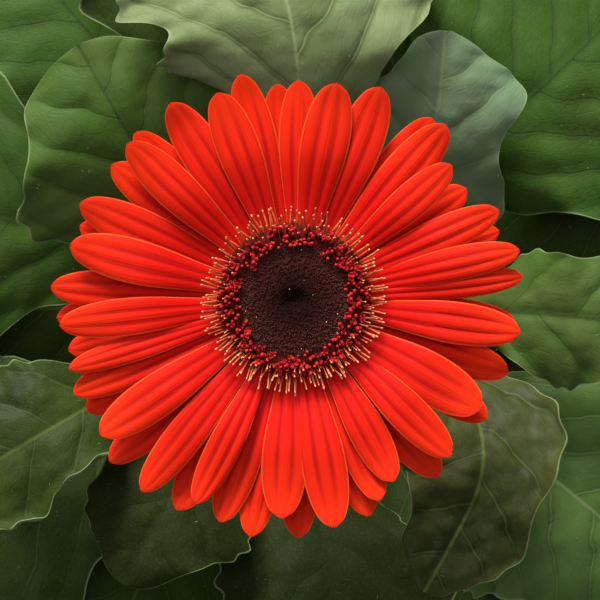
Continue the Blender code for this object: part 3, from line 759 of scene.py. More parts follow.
def clay_finish(settings):
    """Fired clay: mottled, with fine turning lines, paler where minerals have dried on it."""
    skin = Finish("fired_clay", roughness=0.85, specular=0.25)
    x, y, z = skin.parts(skin.place)
    mottle = skin.noise(skin.place, 35.0, 4.0, 0.6)
    speck = skin.noise(skin.place, 900.0, 2.0, 0.7)
    turning = skin.noise(skin.vector(skin.times(x, 0.03), skin.times(y, 0.03), z), 1500.0, 2.0)
    colour = skin.ramp(mottle, (0.3, settings.clay_shade), (0.7, settings.clay_colour))
    colour = skin.mix(skin.between(speck, 0.62, 0.8, 0.0, 0.35), colour, settings.clay_bloom)
    foot = skin.between(z, 0.0, 26 * MM, 0.75, 0.0)
    rim = skin.between(z, POT_HEIGHT - RIM_BAND_HEIGHT, POT_HEIGHT, 0.0, 0.28)
    patches = skin.between(skin.noise(skin.place, 60.0, 5.0, 0.7), 0.42, 0.7)
    colour = skin.mix(skin.times(skin.plus(foot, rim), patches), colour, settings.clay_bloom)
    height = skin.plus(skin.times(turning, 0.6), skin.times(speck, 0.4))
    return skin.paint(colour, skin.between(patches, 0.0, 1.0, 0.78, 0.92), height, 0.25, 0.4 * MM)


def build_pot(settings):
    """The clay pot, with its drain holes."""
    pot = object_of("clay_pot", *turned(pot_profile(), POT_SIDES), sharp=35)
    bore_drain_holes(pot)
    pot.data.materials.clear()
    pot.data.materials.append(clay_finish(settings))
    return ride_and_replace(pot, "clay", "pot")


def soil_finish(settings):
    """Dark damp potting soil with paler fibres and crumbs."""
    skin = Finish("potting_soil", roughness=0.95, specular=0.2)
    tone = skin.attribute("tone")
    grain = skin.noise(skin.place, 700.0, 4.0, 0.7)
    colour = skin.ramp(grain, (0.3, settings.soil_shade), (0.62, settings.soil_colour),
                       (0.8, settings.soil_pale))
    colour = skin.mix(skin.between(tone, 0.55, 1.0, 0.0, 0.6), colour, settings.soil_pale)
    return skin.paint(colour, None, grain, 0.8, 0.8 * MM)


def soil_block():
    """The body of soil: a lumpy mound over sides that follow the pot."""
    edge = inner_pot_radius(SOIL_EDGE_HEIGHT) - SOIL_CLEARANCE
    foot = POT_FLOOR + SOIL_CLEARANCE
    profile = [(0, soil_height(0))]
    for ring in range(1, SOIL_RINGS + 1):
        profile.append((edge * (ring / SOIL_RINGS), soil_height(edge * ring / SOIL_RINGS)))
    profile += [(inner_pot_radius(foot) - SOIL_CLEARANCE, foot), (0, foot)]
    points, faces = turned(profile, SOIL_SIDES)
    top = points[:, 2] > SOIL_EDGE_HEIGHT - MM
    for index in np.flatnonzero(top):
        spot = Vector(points[index]) / SOIL_LUMP_SIZE
        points[index, 2] += SOIL_LUMP_HEIGHT * noise.fractal(spot, 0.7, 2.2, 4)
    return points, faces


def crumb(name, seed, squeeze):
    """One crumb of soil: a lumpy ball of few faces."""
    profile = [(0, 1), (0.75, 0.66), (1, 0), (0.75, -0.66), (0, -1)]
    points, faces = turned(profile, 7)
    for index, point in enumerate(points):
        points[index] = point * (1 + 0.45 * noise.noise(Vector(point) * 1.3 + Vector((seed, 0, 0))))
    points[:, 2] *= squeeze
    return object_of(name, points, faces, sharp=180)


def build_soil(settings, scatter):
    """The body of soil, and the crumbs strewn on its top."""
    finish = soil_finish(settings)
    points, faces = soil_block()
    soil = object_of("soil_body", points, faces, finish, sharp=180, tone=np.zeros(len(points)))
    ride_and_replace(soil, "soil", "soil")
    squeezes = (0.7, 0.45, 0.9, 0.3)
    crumbs = [crumb(f"crumb_{index}", 3.1 * index, squeeze) for index, squeeze in enumerate(squeezes)]
    strewn = grow(scatter, "soil_crumbs", crumbs, base=soil_bed(points), Density=settings.crumb_density,
                  Lean=1.2, Sink=0.35, Size_From=0.35 * MM, Size_To=1.7 * MM, Seed=21, Material=finish)
    return ride_and_replace(strewn, "soil")


def soil_bed(points):
    """The open top of the soil alone, on which the crumbs are strewn."""
    rings = SOIL_RINGS - 1
    faces = []
    for ring in range(rings - 1):
        for side in range(SOIL_SIDES):
            near = ring * SOIL_SIDES + side
            beside = ring * SOIL_SIDES + (side + 1) % SOIL_SIDES
            faces.append((near, near + SOIL_SIDES, beside + SOIL_SIDES, beside))
    return mesh_of("soil_bed", points[2:2 + rings * SOIL_SIDES], faces)


# Flower stem

def stem_line(count):
    """The stem leaves the soil beside the axis and curves to it below the bloom."""
    low = soil_height(0) - STEM_DEPTH
    straight = soil_height(0) + 2 * MM
    top = BLOOM_HEIGHT - 10 * MM
    share = np.linspace(0, 1, count)
    keep = 1 - smoothstep(0.0, 1.0, share)
    height = straight + (top - straight) * share
    line = np.stack([STEM_FOOT[0] * keep, STEM_FOOT[1] * keep, height], axis=1)
    return np.concatenate([[(*STEM_FOOT, low)], line])


def stem_finish(settings):
    """Green stalk: lengthwise ribs, a downy sheen, redder towards the bloom."""
    skin = Finish("downy_stalk", roughness=0.6, specular=0.35, sheen=0.35, sheen_tint=(0.9, 1.0, 0.8))
    x, y, z = skin.parts(skin.place)
    streak = skin.noise(skin.vector(x, y, skin.times(z, 0.06)), 900.0, 3.0)
    colour = skin.ramp(streak, (0.3, settings.stem_shade), (0.7, settings.stem_colour))
    blush = skin.between(z, BLOOM_HEIGHT - 60 * MM, BLOOM_HEIGHT - 8 * MM, 0.0, 0.25)
    colour = skin.mix(blush, colour, settings.stem_blush)
    return skin.paint(colour, None, streak, 0.35, 0.3 * MM)


def bract_finish(settings):
    """Bract: green with a paler keel and a dull red point."""
    skin = Finish("bract_green", roughness=0.6, specular=0.35, sheen=0.3, sheen_tint=(0.9, 1.0, 0.8))
    across, along, _ = skin.parts(skin.attribute("place", "Vector"))
    tone = skin.attribute("tone")
    keel = skin.between(skin.math("ABSOLUTE", across), 0.0, 0.28, 1.0, 0.0)
    colour = skin.ramp(tone, (0.0, settings.stem_shade), (1.0, settings.stem_colour))
    colour = skin.mix(skin.times(keel, 0.4), colour, settings.stem_pale)
    colour = skin.mix(skin.between(along, 0.7, 1.0, 0.0, 0.7), colour, settings.stem_blush)
    streak = skin.noise(skin.vector(skin.times(across, 9.0), along, tone), 3.0, 2.0)
    return skin.paint(colour, None, streak, 0.3, 0.2 * MM)


def cup_radius(depth):
    depths = [point[0] for point in CUP_PROFILE[1:-1]]
    radii = [point[1] for point in CUP_PROFILE[1:-1]]
    return float(np.interp(depth, depths, radii))


def bract(name, row):
    """One pointed bract of a row, in its place at +X, pressed to the cup."""
    rows, spans = BRACT_MESH
    share = np.linspace(0, 1, rows)
    width = row.width / 2 * np.sin(pi * (0.14 + 0.86 * share) ** 0.8) ** 0.8
    width[-1] = 0.1 * MM
    across = np.linspace(-1, 1, spans + 1)
    top = np.zeros((rows, spans + 1, 3))
    for index, along in enumerate(share):
        depth = row.foot + (row.tip - row.foot) * along
        radius = cup_radius(depth) + BRACT_CLEARANCE + row.lift * along ** 2
        turn = across * width[index] / radius
        keel = BRACT_KEEL * (1 - across ** 2) * (1 - along * 0.5)
        top[index, :, 0] = (radius + keel) * np.cos(turn)
        top[index, :, 1] = (radius + keel) * np.sin(turn)
        top[index, :, 2] = BLOOM_HEIGHT - depth
    inner = top.copy()
    inner[:, :, :2] -= top[:, :, :2] / np.linalg.norm(top[:, :, :2], axis=2)[..., None] * BRACT_THICKNESS
    place = np.stack(np.broadcast_arrays(across[None, :], share[:, None], 0.0), axis=2).reshape(-1, 3)
    shell = np.concatenate([inner.reshape(-1, 3), top.reshape(-1, 3)])
    return object_of(name, shell, shell_faces(rows, spans + 1), place=np.concatenate([place, place]))


def hair(name, radius, bend):
    """A fine tapering hair one unit long, of three sides."""
    line = [(0, 0, -0.05), (bend * 0.3, 0, 0.5), (bend, 0, 1.0)]
    return object_of(name, tube(line, [radius, radius * 0.7, radius * 0.15], 3), tube_faces(3, 3))


def hair_finish(settings):
    skin = Finish("pale_down", roughness=0.6, specular=0.3)
    tone = skin.attribute("tone")
    return skin.paint(skin.ramp(tone, (0.0, settings.down_shade), (1.0, settings.down_colour)))


def build_stem(settings, around, scatter):
    """The ribbed stem with its cup, the rows of bracts on the cup, and the down on the stem."""
    line = stem_line(STEM_RINGS)
    points = tube(line, STEM_RADIUS, STEM_SIDES).reshape(len(line), STEM_SIDES, 3)
    rib = STEM_RIB_HEIGHT * np.cos(np.linspace(0, 2 * pi, STEM_SIDES, endpoint=False) * STEM_RIBS)
    swell = STEM_NECK_SWELL * smoothstep(0.8, 1.0, np.linspace(0, 1, len(line)))
    out = (points - line[:, None]) / STEM_RADIUS
    points += out * (rib[None, :, None] + swell[:, None, None])
    heap = Heap()
    heap.add(points, tube_faces(len(line), STEM_SIDES))
    profile = [(radius, BLOOM_HEIGHT - depth) for depth, radius in CUP_PROFILE]
    heap.add(*turned(profile, CUP_SIDES))
    stem = heap.to_object("flower_stalk", stem_finish(settings))
    ride_and_replace(stem, "stem", "flower_stem")
    finish = bract_finish(settings)
    for index, row in enumerate(BRACT_ROWS):
        rows = grow(around, f"bracts_{index + 1}", [bract(f"bract_{index}", row)],
                    Count=settings.bracts_in_row, Start=row.offset, Seed=5 + index, Material=finish)
        ride_and_replace(rows, "stem")
    down = grow(scatter, "stem_hairs", [hair("hair_a", 0.05, 0.2), hair("hair_b", 0.045, -0.35)],
                base=stem.data.copy(), Density=settings.stem_hair_density, Lean=0.5, Sink=0.0,
                Size_From=0.5 * MM, Size_To=1.4 * MM, Seed=31, Material=hair_finish(settings))
    return ride_and_replace(down, "stem")


# Ray florets

def ray_outline(share):
    """Width along a strap petal: narrow root, widest past the middle, rounded blunt tip."""
    body = 0.5 + 0.5 * smoothstep(0.0, RAY_WIDEST_AT, share)
    past = np.clip((share - RAY_WIDEST_AT) / (1 - RAY_WIDEST_AT), 0, 1)
    return body * (1 - 0.97 * past ** 2.5) ** 0.56


def ray_height(share, layer):
    """Height of a petal over the receptacle: up to its shoulder, then level or drooping to its tip."""
    rising = layer.root + (layer.shoulder - layer.root) * smoothstep(0, RAY_SHOULDER_AT, share)
    past = np.clip((share - RAY_SHOULDER_AT) / (1 - RAY_SHOULDER_AT), 0, 1)
    level = layer.shoulder + (layer.tip - layer.shoulder) * past ** 2
    return np.where(share < RAY_SHOULDER_AT, rising, level)


def ray_surface(ray, layer, index, draw, settings):
    """Top points of one petal, root to tip by edge to edge, with its ridges, teeth and curl."""
    angle, reach, width = ray
    along = np.sin(np.linspace(0, pi / 2, RAY_ROWS))[:, None]
    across = np.linspace(-1, 1, RAY_SPANS + 1)[None, :]
    turn = pi / 2 - radians(angle)
    shift = draw.uniform(-0.05, 0.05)
    depth = settings.ridge_depth * draw.uniform(0.6, 1.25)
    teeth = draw.uniform(0.2, 0.8, 2) * MM
    roll = draw.uniform(-1.0, 1.0) * RAY_ROLL
    bend = draw.uniform(-1.0, 1.0) * RAY_BEND
    curl = draw.uniform(-1.5, 0.1) * MM
    flutter = draw.uniform(0, 2 * pi)
    ridges = np.abs(np.cos(1.5 * pi * (across + shift * (1 - across ** 2)))) ** 0.8
    notch = np.where(across > 0, teeth[0], teeth[1]) * (1 - ridges) * (np.abs(across) < 0.75)
    point = RAY_POINT * across ** 2
    run = (reach * MM - RAY_ROOT) * along - (notch + point) * smoothstep(0.94, 1.0, along)
    half = width * MM / 2 * ray_outline(along)
    side = half * across + bend * along ** 2
    swell = ray_outline(along) * smoothstep(0.0, 0.2, along)
    lift = (index % 2 - 0.5) * RAY_STAGGER * smoothstep(0.1, 0.5, along)
    height = BLOOM_HEIGHT + ray_height(along, layer) + lift
    height = height - RAY_ARCH * swell * np.abs(across) ** 1.6 + RAY_SKIN / 2
    height = height + depth * swell * (ridges - 0.5) * (1 - 0.5 * smoothstep(0.85, 1.0, along))
    height = height + roll * side * smoothstep(0.15, 0.5, along)
    height = height + RAY_FLUTTER * np.sin(flutter + 7 * along) * across ** 2 * swell
    height = height - curl * smoothstep(0.75, 1.0, along) ** 2
    radius = RAY_ROOT + run
    x = radius * cos(turn) - side * sin(turn)
    y = radius * sin(turn) + side * cos(turn)
    tone = draw.uniform(0, 1)
    place = np.stack(np.broadcast_arrays(across, along, tone), axis=2)
    return np.stack(np.broadcast_arrays(x, y, height), axis=2), place


def petal_finish(settings):
    """Velvet red strap: crimson by the disc, orange towards the tip, with painted shade in its grooves and
    darker streaks.
    """
    skin = Finish("red_petal", roughness=0.55, specular=0.05, sheen=0.03, sheen_tint=(1.0, 0.3, 0.1),
                  glow=0.1)
    across, along, tone = skin.parts(skin.attribute("place", "Vector"))
    under = skin.attribute("under")
    colour = skin.ramp(along, (0.0, settings.petal_root), (0.4, settings.petal_colour),
                       (1.0, settings.petal_tip))
    colour = skin.mix(skin.times(tone, 0.25), colour, settings.petal_root)
    # Painted shade: the petal is painted darker in the two grooves between its three ridges.
    groove_shade = skin.math("ABSOLUTE", skin.math("COSINE", skin.times(across, 1.5 * pi)))
    groove_shade = skin.times(skin.between(groove_shade, 0.0, 0.85, 1.0, 0.0), skin.between(along, 1.0, 0.6))
    colour = skin.mix(skin.times(groove_shade, 0.75), colour, settings.petal_groove_shade_and_streak)
    grain = skin.vector(skin.times(across, 17.0), skin.times(along, 1.3), skin.times(tone, 37.0))
    streak = skin.noise(grain, 1.0, 3.0, 0.6)
    colour = skin.mix(skin.between(streak, 0.5, 0.75, 0.0, 0.45), colour, settings.petal_groove_shade_and_streak)
    colour = skin.mix(skin.between(streak, 0.45, 0.2, 0.0, 0.3), colour, settings.petal_tip)
    # Painted highlight: the thin edges are lighter, as where light shines through them.
    edge = skin.between(skin.math("ABSOLUTE", across), 0.9, 0.97, 0.0, 0.5)
    colour = skin.mix(edge, colour, settings.petal_painted_edge_light)
    colour = skin.mix(skin.times(under, 0.45), colour, settings.petal_under)
    return skin.paint(colour, skin.between(streak, 0.2, 0.8, 0.42, 0.6), streak, 0.5, 0.25 * MM)


def build_rays(settings):
    """All the strap petals, layer over layer."""
    draw = np.random.default_rng(8)
    heap = Heap()
    faces = shell_faces(RAY_ROWS, RAY_SPANS + 1)
    for layer in RAY_LAYERS:
        for index, ray in enumerate(layer.rays):
            top, place = ray_surface(ray, layer, index, draw, settings)
            bottom = top - (0, 0, RAY_SKIN)
            under = np.repeat([0.0, 1.0], top.shape[0] * top.shape[1])
            shell = np.concatenate([top.reshape(-1, 3), bottom.reshape(-1, 3)])
            place = place.reshape(-1, 3)
            heap.add(shell, faces, place=np.concatenate([place, place]), under=under)
    rays = heap.to_object("ray_petals", petal_finish(settings))
    return ride_and_replace(rays, "ray_petals", "ray_florets")


# Disc, inner florets and stamens

def bent_floret(name, profile, sides, bend, stretch=1.0):
    """A turned floret that leans to one side; its rise goes from 0 at its foot to 1 near its tip."""
    points, faces = turned(profile, sides)
    points[:, 0] += bend * np.clip(points[:, 2], 0, None) ** 2
    return object_of(name, points, faces, sharp=180, rise=np.clip(points[:, 2] * stretch, 0, 1))


def bud(name, bend):
    """A closed disc floret: a tapered bud with a pointed crown, about one unit wide."""
    return bent_floret(name, BUD_PROFILE, 6, bend)


def bristle(name, bend):
    """A fine stiff hair that stands between the buds and over them."""
    line = np.array([(0, 0, -0.3), (bend * 0.4, 0, 0.6), (bend, 0, 1.5)])
    rise = np.repeat([0.2, 0.7, 1.0], 3)
    return object_of(name, tube(line, [0.09, 0.07, 0.03], 3), tube_faces(3, 3), rise=rise)


def disc_finish(settings):
    """Velvety and nearly black in the middle, maroon and then grey-tipped at the edge."""
    skin = Finish("dark_disc", roughness=0.8, specular=0.05, sheen=0.08, sheen_tint=(0.9, 0.5, 0.4))
    x, y, _ = skin.parts(skin.place)
    radius = skin.math("SQRT", skin.plus(skin.times(x, x), skin.times(y, y)))
    share = skin.math("DIVIDE", radius, DISC_RADIUS)
    rise = skin.attribute("rise")
    tone = skin.attribute("tone")
    middle = (0.2, settings.disc_middle)
    dark = skin.ramp(share, middle, (0.6, settings.disc_colour), (1.0, settings.disc_edge))
    tip = skin.ramp(share, middle, (0.6, settings.disc_tip), (1.0, settings.disc_rim))
    tipped = skin.times(skin.between(rise, 0.45, 1.0), skin.between(tone, 0.0, 1.0, 0.35, 1.0))
    return skin.paint(skin.mix(tipped, dark, tip))


def floret_bed(name, profile, sides):
    """A turned mesh that florets stand on; all its points have zero rise and tone."""
    points, faces = turned(profile, sides)
    return mesh_of(name, points, faces, rise=np.zeros(len(points)), tone=np.zeros(len(points)))


def disc_base():
    """The smooth dome with its sunken middle that the disc's florets stand on."""
    profile = []
    for share in np.linspace(0, 1, DISC_BASE_RINGS):
        pit = DISC_PIT_DEPTH * (1 - float(smoothstep(0.0, DISC_PIT_RADIUS, share * DISC_RADIUS)))
        height = DISC_EDGE_HEIGHT + DISC_DOME * (1 - share ** 4) - pit - DISC_BASE_SINK
        profile.append((share * DISC_RADIUS, BLOOM_HEIGHT + height))
    profile += [(DISC_RADIUS, BLOOM_HEIGHT + DISC_FOOT), (0, BLOOM_HEIGHT + DISC_FOOT)]
    return floret_bed("disc_base", profile, DISC_BASE_SIDES)


def pollen_finish(settings):
    skin = Finish("pale_pollen", roughness=0.6, specular=0.3)
    tone = skin.attribute("tone")
    return skin.paint(skin.ramp(tone, (0.0, settings.stamen_tip), (1.0, settings.pollen_colour)))


def build_disc(settings, spiral, scatter):
    """The dark disc on its dome, and the pale grains strewn on it."""
    variants = [bud("bud_0", 0.12), bud("bud_1", -0.1)]
    variants += [bristle("bristle_0", 0.25), bristle("bristle_1", -0.4)]
    disc = grow(spiral, "disc_buds", variants, base=disc_base(), Count=settings.disc_count,
                Radius=DISC_RADIUS, Edge_Height=BLOOM_HEIGHT + DISC_EDGE_HEIGHT, Dome=DISC_DOME,
                Pit_Depth=DISC_PIT_DEPTH, Pit_Radius=DISC_PIT_RADIUS, Size=settings.disc_floret_size,
                Seed=3, Material=disc_finish(settings))
    ride_and_replace(disc, "disc", "disc_florets")
    grains = grow(scatter, "pollen_grains", [crumb("grain_a", 1.7, 0.8), crumb("grain_b", 5.2, 0.6)],
                  base=disc_base(), Density=settings.pollen_density, Lean=1.0, Sink=-4.0,
                  Size_From=0.06 * MM, Size_To=0.16 * MM, Seed=12, Material=pollen_finish(settings))
    return ride_and_replace(grains, "disc")


def inner_floret(name, lobes, spread, bend):
    """A small tubular floret one unit long, whose mouth splits into curled lobes."""
    heap = Heap()
    line = np.array([(0, 0, -0.3), (bend * 0.15, 0, 0.15), (bend * 0.5, 0, 0.5), (bend, 0, 0.72)])
    points = tube(line, [0.1, 0.12, 0.17, 0.24], 6)
    heap.add(points, tube_faces(4, 6), rise=np.repeat([0.0, 0.2, 0.5, 0.7], 6))
    mouth = line[-1]
    for index in range(lobes):
        turn = 2 * pi * index / lobes + 0.4
        out = np.array([cos(turn), sin(turn), 0])
        side = np.array([-sin(turn), cos(turn), 0])
        rows = []
        for share, width in ((0, 0.16), (0.5, 0.19), (1.0, 0.07)):
            rise = 0.30 * share - 0.28 * share ** 2 * spread
            centre = mouth + out * (0.14 + spread * 0.34 * share) + np.array([0, 0, rise])
            cupped = np.array([0, 0, 0.05])
            rows.append([centre - side * width + cupped, centre, centre + side * width + cupped])
        top = np.array(rows).reshape(-1, 3)
        shell = np.concatenate([top, top - (0, 0, 0.05)])
        heap.add(shell, shell_faces(3, 3), rise=np.tile(np.repeat([0.7, 0.85, 1.0], 3), 2))
    return heap.to_object(name, sharp=180)


def closed_floret(name, bend):
    """An inner floret still in bud, one unit long: a slim tube with a swollen blunt head."""
    return bent_floret(name, CLOSED_PROFILE, 7, bend, 1.05)


def floret_floor():
    """The ring of receptacle between the disc and the petals, on which the florets stand; its zero rise
    gives it the painted shade of the florets' feet.
    """
    profile = [(radius, BLOOM_HEIGHT + height) for radius, height in RING_PROFILE]
    return floret_bed("floret_floor", profile, RING_SIDES)


def inner_finish(settings):
    """Crimson floret: painted shade at its foot and on the ring between the florets, dark in its tube,
    redder and a little paler at the lobes.
    """
    skin = Finish("crimson_floret", roughness=0.65, specular=0.08, sheen=0.02, sheen_tint=(1.0, 0.4, 0.4))
    rise = skin.attribute("rise")
    tone = skin.attribute("tone")
    # Painted shade: zero rise, at the florets' feet and on the floor of the ring between them, takes the
    # darkest crimson.
    colour = skin.ramp(rise, (0.0, settings.inner_foot_shade), (0.25, settings.inner_shade),
                       (0.6, settings.inner_colour), (1.0, settings.inner_tip))
    colour = skin.mix(skin.between(tone, 0.5, 1.0, 0.0, 0.7), colour, settings.inner_shade)
    return skin.paint(colour, None, skin.noise(skin.place, 3000.0), 0.3, 0.1 * MM)


def grow_ring(tree, ring, variants, count, material, base=None):
    """Grows one ring of repeats round the disc."""
    return grow(tree, ring.name, variants, base=base, Count=count, Inner_Radius=ring.inner * MM,
                Outer_Radius=ring.outer * MM, Height=BLOOM_HEIGHT + ring.height * MM,
                Height_Spread=ring.spread * MM, Lean_In=radians(ring.lean_in),
                Lean_Out=radians(ring.lean_out), Lean_Spread=radians(ring.lean_spread),
                Size_From=ring.shortest * MM, Size_To=ring.longest * MM, Seed=ring.seed, Material=material)


def build_inner_florets(settings, tree):
    """The crimson florets: most still closed, some open into lobes."""
    variants = [inner_floret("floret_0", 3, 0.5, 0.1)]
    for index, bend in enumerate((0.15, -0.1, 0.05)):
        variants.append(closed_floret(f"floret_{index + 1}", bend))
    florets = grow_ring(tree, FLORET_RING, variants, settings.inner_count, inner_finish(settings),
                        floret_floor())
    return ride_and_replace(florets, "inner_florets", "inner_florets")


def stamen(name, bend, head):
    """A filament one unit long, slightly bent, with a small knob at its tip."""
    share = np.array([-0.12, 0.2, 0.45, 0.7, 0.88])
    line = np.stack([bend * np.clip(share, 0, 1) ** 2, 0.3 * bend * share ** 3, share], axis=1)
    knob = np.array([(0, 0, 0.02), (0, 0, 0.06), (0, 0, 0.11), (0, 0, 0.14)]) + line[-1]
    radii = [0.042, 0.042, 0.04, 0.038, 0.036, 0.044 * head, 0.052 * head, 0.042 * head, 0.018]
    points = tube(np.concatenate([line, knob]), radii, 6)
    rise = np.repeat([0, 0.2, 0.45, 0.65, 0.78, 0.9, 0.96, 1, 1], 6)
    return object_of(name, points, tube_faces(9, 6), sharp=180, rise=rise)


def stamen_finish(settings):
    """Golden filament: brown at its foot, pale orange at the knob."""
    skin = Finish("golden_filament", roughness=0.45, specular=0.45, glow=0.1)
    rise = skin.attribute("rise")
    tone = skin.attribute("tone")
    colour = skin.ramp(rise, (0.0, settings.stamen_foot), (0.35, settings.stamen_colour),
                       (0.8, settings.stamen_colour), (0.92, settings.stamen_tip))
    colour = skin.mix(skin.between(tone, 0.4, 1.0, 0.0, 0.5), colour, settings.stamen_foot)
    return skin.paint(colour)


def filaments(tree, ring, count, finish):
    """One irregular ring of filaments of three shapes."""
    shapes = (("a", 0.06, 1.0), ("b", -0.12, 1.15), ("c", 0.18, 0.9))
    variants = [stamen(f"{ring.name}_{letter}", bend, head) for letter, bend, head in shapes]
    return grow_ring(tree, ring, variants, count, finish)


def build_stamens(settings, tree):
    """Two rings of filaments, the outer one leaning out over the petal roots."""
    finish = stamen_finish(settings)
    outer = filaments(tree, OUTER_STAMENS, settings.stamen_count, finish)
    inner = filaments(tree, INNER_STAMENS, settings.stamen_count * 3 // 4, finish)
    ride_and_replace(outer, "stamens", "stamens")
    ride_and_replace(inner, "stamens")


# Leaves

def leaf_path(leaf, shares):
    """Points and headings of the leaf's middle line at shares of its reach."""
    steps = np.linspace(0, 1, PATH_STEPS + 1)
    heading = radians(leaf.azimuth) + radians(leaf.turn) * smoothstep(TURN_FROM, TURN_TO, steps)
    step = leaf.reach * MM / PATH_STEPS
    foot = leaf.foot * MM
    x = foot * cos(radians(leaf.azimuth)) + np.concatenate([[0], np.cumsum(np.cos(heading[:-1]))]) * step
    y = foot * sin(radians(leaf.azimuth)) + np.concatenate([[0], np.cumsum(np.sin(heading[:-1]))]) * step
    run = shares * leaf.reach * MM
    rise, droop = leaf.rise * MM, leaf.droop * MM
    rising = rise * (1 - (1 - np.clip(run / LEAF_PEAK_AT, 0, 1)) ** LEAF_RISE_POWER)
    falling = droop * (np.clip(run - LEAF_PEAK_AT, 0, None) / DROOP_RUN) ** 2
    height = soil_height(foot) + MM + rising - falling
    line = np.stack([np.interp(shares, steps, x), np.interp(shares, steps, y), height], axis=1)
    return line, np.interp(shares, steps, heading)


def blade_half_width(along, half_width, waves, lobe):
    """Half width at a share of the blade: narrow foot, rounded tip, waved lobes and fine teeth."""
    inside = np.clip(along, 0.0, 1.0)
    body = np.sin(pi * inside ** 0.9) ** (1.25 - 0.75 * inside)
    lobes = 1 + lobe * LOBE_DEPTH * np.sin(2 * pi * waves)
    teeth = 1 + TOOTH_DEPTH * np.sin(2 * pi * waves * LOBE_LENGTH / TOOTH_LENGTH + 3 * np.sin(5 * waves))
    wide = np.maximum(half_width * body * lobes * teeth, TIP_WIDTH)
    return np.where((along <= 0) | (along >= 1), TIP_WIDTH, wide)


def unevenness(x, y, start, size):
    """Smooth noise from -1 to 1 over the blade, different for every start."""
    made = np.zeros(x.shape)
    for index in np.ndindex(x.shape):
        made[index] = noise.fractal(Vector((x[index], y[index], start)) / size, 0.8, 2.1, 3)
    return made


def margin_curl(leaf, along, across, reach, spot):
    """Roll of one margin up and over: the shift outwards, the lift and the turn of the skin."""
    share = np.sin(pi * np.clip(along * 1.02, 0, 1)) ** 0.6 * (0.75 + 0.5 * spot)
    angle = np.maximum(radians(leaf.curl) * share, 1e-3)
    past = np.clip(across - CURL_FROM, 0, None) * reach
    bend = angle / ((1 - CURL_FROM) * reach)
    return np.sin(bend * past) / bend - past, (1 - np.cos(bend * past)) / bend, bend * past


def leaf_shares(leaf, rows):
    """Shares of a leaf's reach at its rows: an eighth of them on the stalk, the rest on the blade."""
    stalk_share = leaf.stalk / leaf.reach
    stalk_rows = rows // 8
    stalk = np.linspace(0, stalk_share, stalk_rows, endpoint=False)
    blade = stalk_share + (1 - stalk_share) * np.linspace(0, 1, rows - stalk_rows) ** 0.92
    return np.concatenate([stalk, blade])


def leaf_frame(leaf, shares, along):
    """The middle line from its foot in the soil to the tip, and the ways sideways and up along it."""
    line, heading = leaf_path(leaf, shares)
    line = np.concatenate([[line[0] - (0, 0, STALK_DEPTH)], line])
    heading = np.concatenate([[heading[0]], heading])
    tangent = np.gradient(line, axis=0)
    tangent /= np.linalg.norm(tangent, axis=1)[:, None]
    lean = radians(leaf.roll) * smoothstep(0.0, 0.3, along)[:, None]
    flat = np.stack([-np.sin(heading), np.cos(heading), np.zeros(len(heading))], axis=1)
    over = np.cross(tangent, flat)
    over /= np.linalg.norm(over, axis=1)[:, None]
    sideways = flat * np.cos(lean) + over * np.sin(lean)
    return line, sideways, np.cross(tangent, sideways)


class Blade:
    """A leaf's blade laid flat: rows along it by spans across it, with its edge and its veins."""

    def __init__(self, leaf, along, spans):
        half_width = leaf.half_width * MM
        length = (leaf.reach - leaf.stalk) * MM
        self.leaf = leaf
        self.along = along[:, None]
        self.across = np.linspace(-1, 1, spans + 1)[None, :]
        self.waves = length / LOBE_LENGTH * self.along + leaf.phase
        self.shift = np.where(self.across >= 0, EDGE_SHIFT, -EDGE_SHIFT)
        self.reach = blade_half_width(self.along, half_width, self.waves + self.shift, leaf.lobe)
        self.x = x = self.reach * self.across
        y = length * np.clip(self.along, 0, 1) + 0 * x
        self.full = np.minimum(1, self.reach / (0.5 * half_width))
        self.broad = unevenness(x, y, leaf.azimuth * MM, BROAD_SWELL)
        self.small = unevenness(x, y, leaf.reach * MM, SMALL_SWELL)
        rise = y - VEIN_LEAN * np.abs(x) - VEIN_BEND * x ** 2
        self.slant = rise / VEIN_SPACING + VEIN_WANDER * self.broad
        vein = self.slant + 0.5 * (x > 0)
        self.distance = np.abs(vein - np.round(vein))

    def height(self, settings):
        """Height of the blade's middle: waved crest, ruffled edge, quilting, crumples and channel."""
        full = self.full
        crest = LEAF_WAVE * np.sin(2 * pi * (self.waves - self.shift)) - LEAF_CAMBER
        crest = crest * self.across ** 2 * full
        ruffle = settings.ruffle * np.sin(2 * pi * (self.waves * RUFFLE_RATE + self.shift * 3))
        ruffle = ruffle * np.abs(self.across) ** 5 * full
        puff = settings.quilt * (np.sin(pi * self.distance) ** 0.7 - 0.5)
        puff = puff * smoothstep(0.6 * MM, 6 * MM, np.abs(self.x)) * (1 - 0.5 * self.across ** 4)
        crumple = self.leaf.crinkle * (settings.swell * self.broad + settings.crumple * self.small)
        channel = MIDRIB_CHANNEL * np.exp(-(self.x / MIDRIB_WIDTH) ** 2)
        return crest + ruffle + (puff + crumple) * full - channel * full

    def rib(self):
        """How far the midrib and the side veins stand out under the blade."""
        depth = MIDRIB_DEPTH * (1 - 0.6 * np.clip(self.along, 0, 1))
        midrib = depth * np.exp(-(self.x / MIDRIB_WIDTH) ** 2)
        return midrib + SIDE_VEIN_DEPTH * smoothstep(0.12, 0.0, self.distance) * self.full

    def place(self):
        """Each point's distance from the midrib, its place among the side veins and its edge share."""
        return np.stack(np.broadcast_arrays(self.x, self.slant, np.abs(self.across)), axis=2)


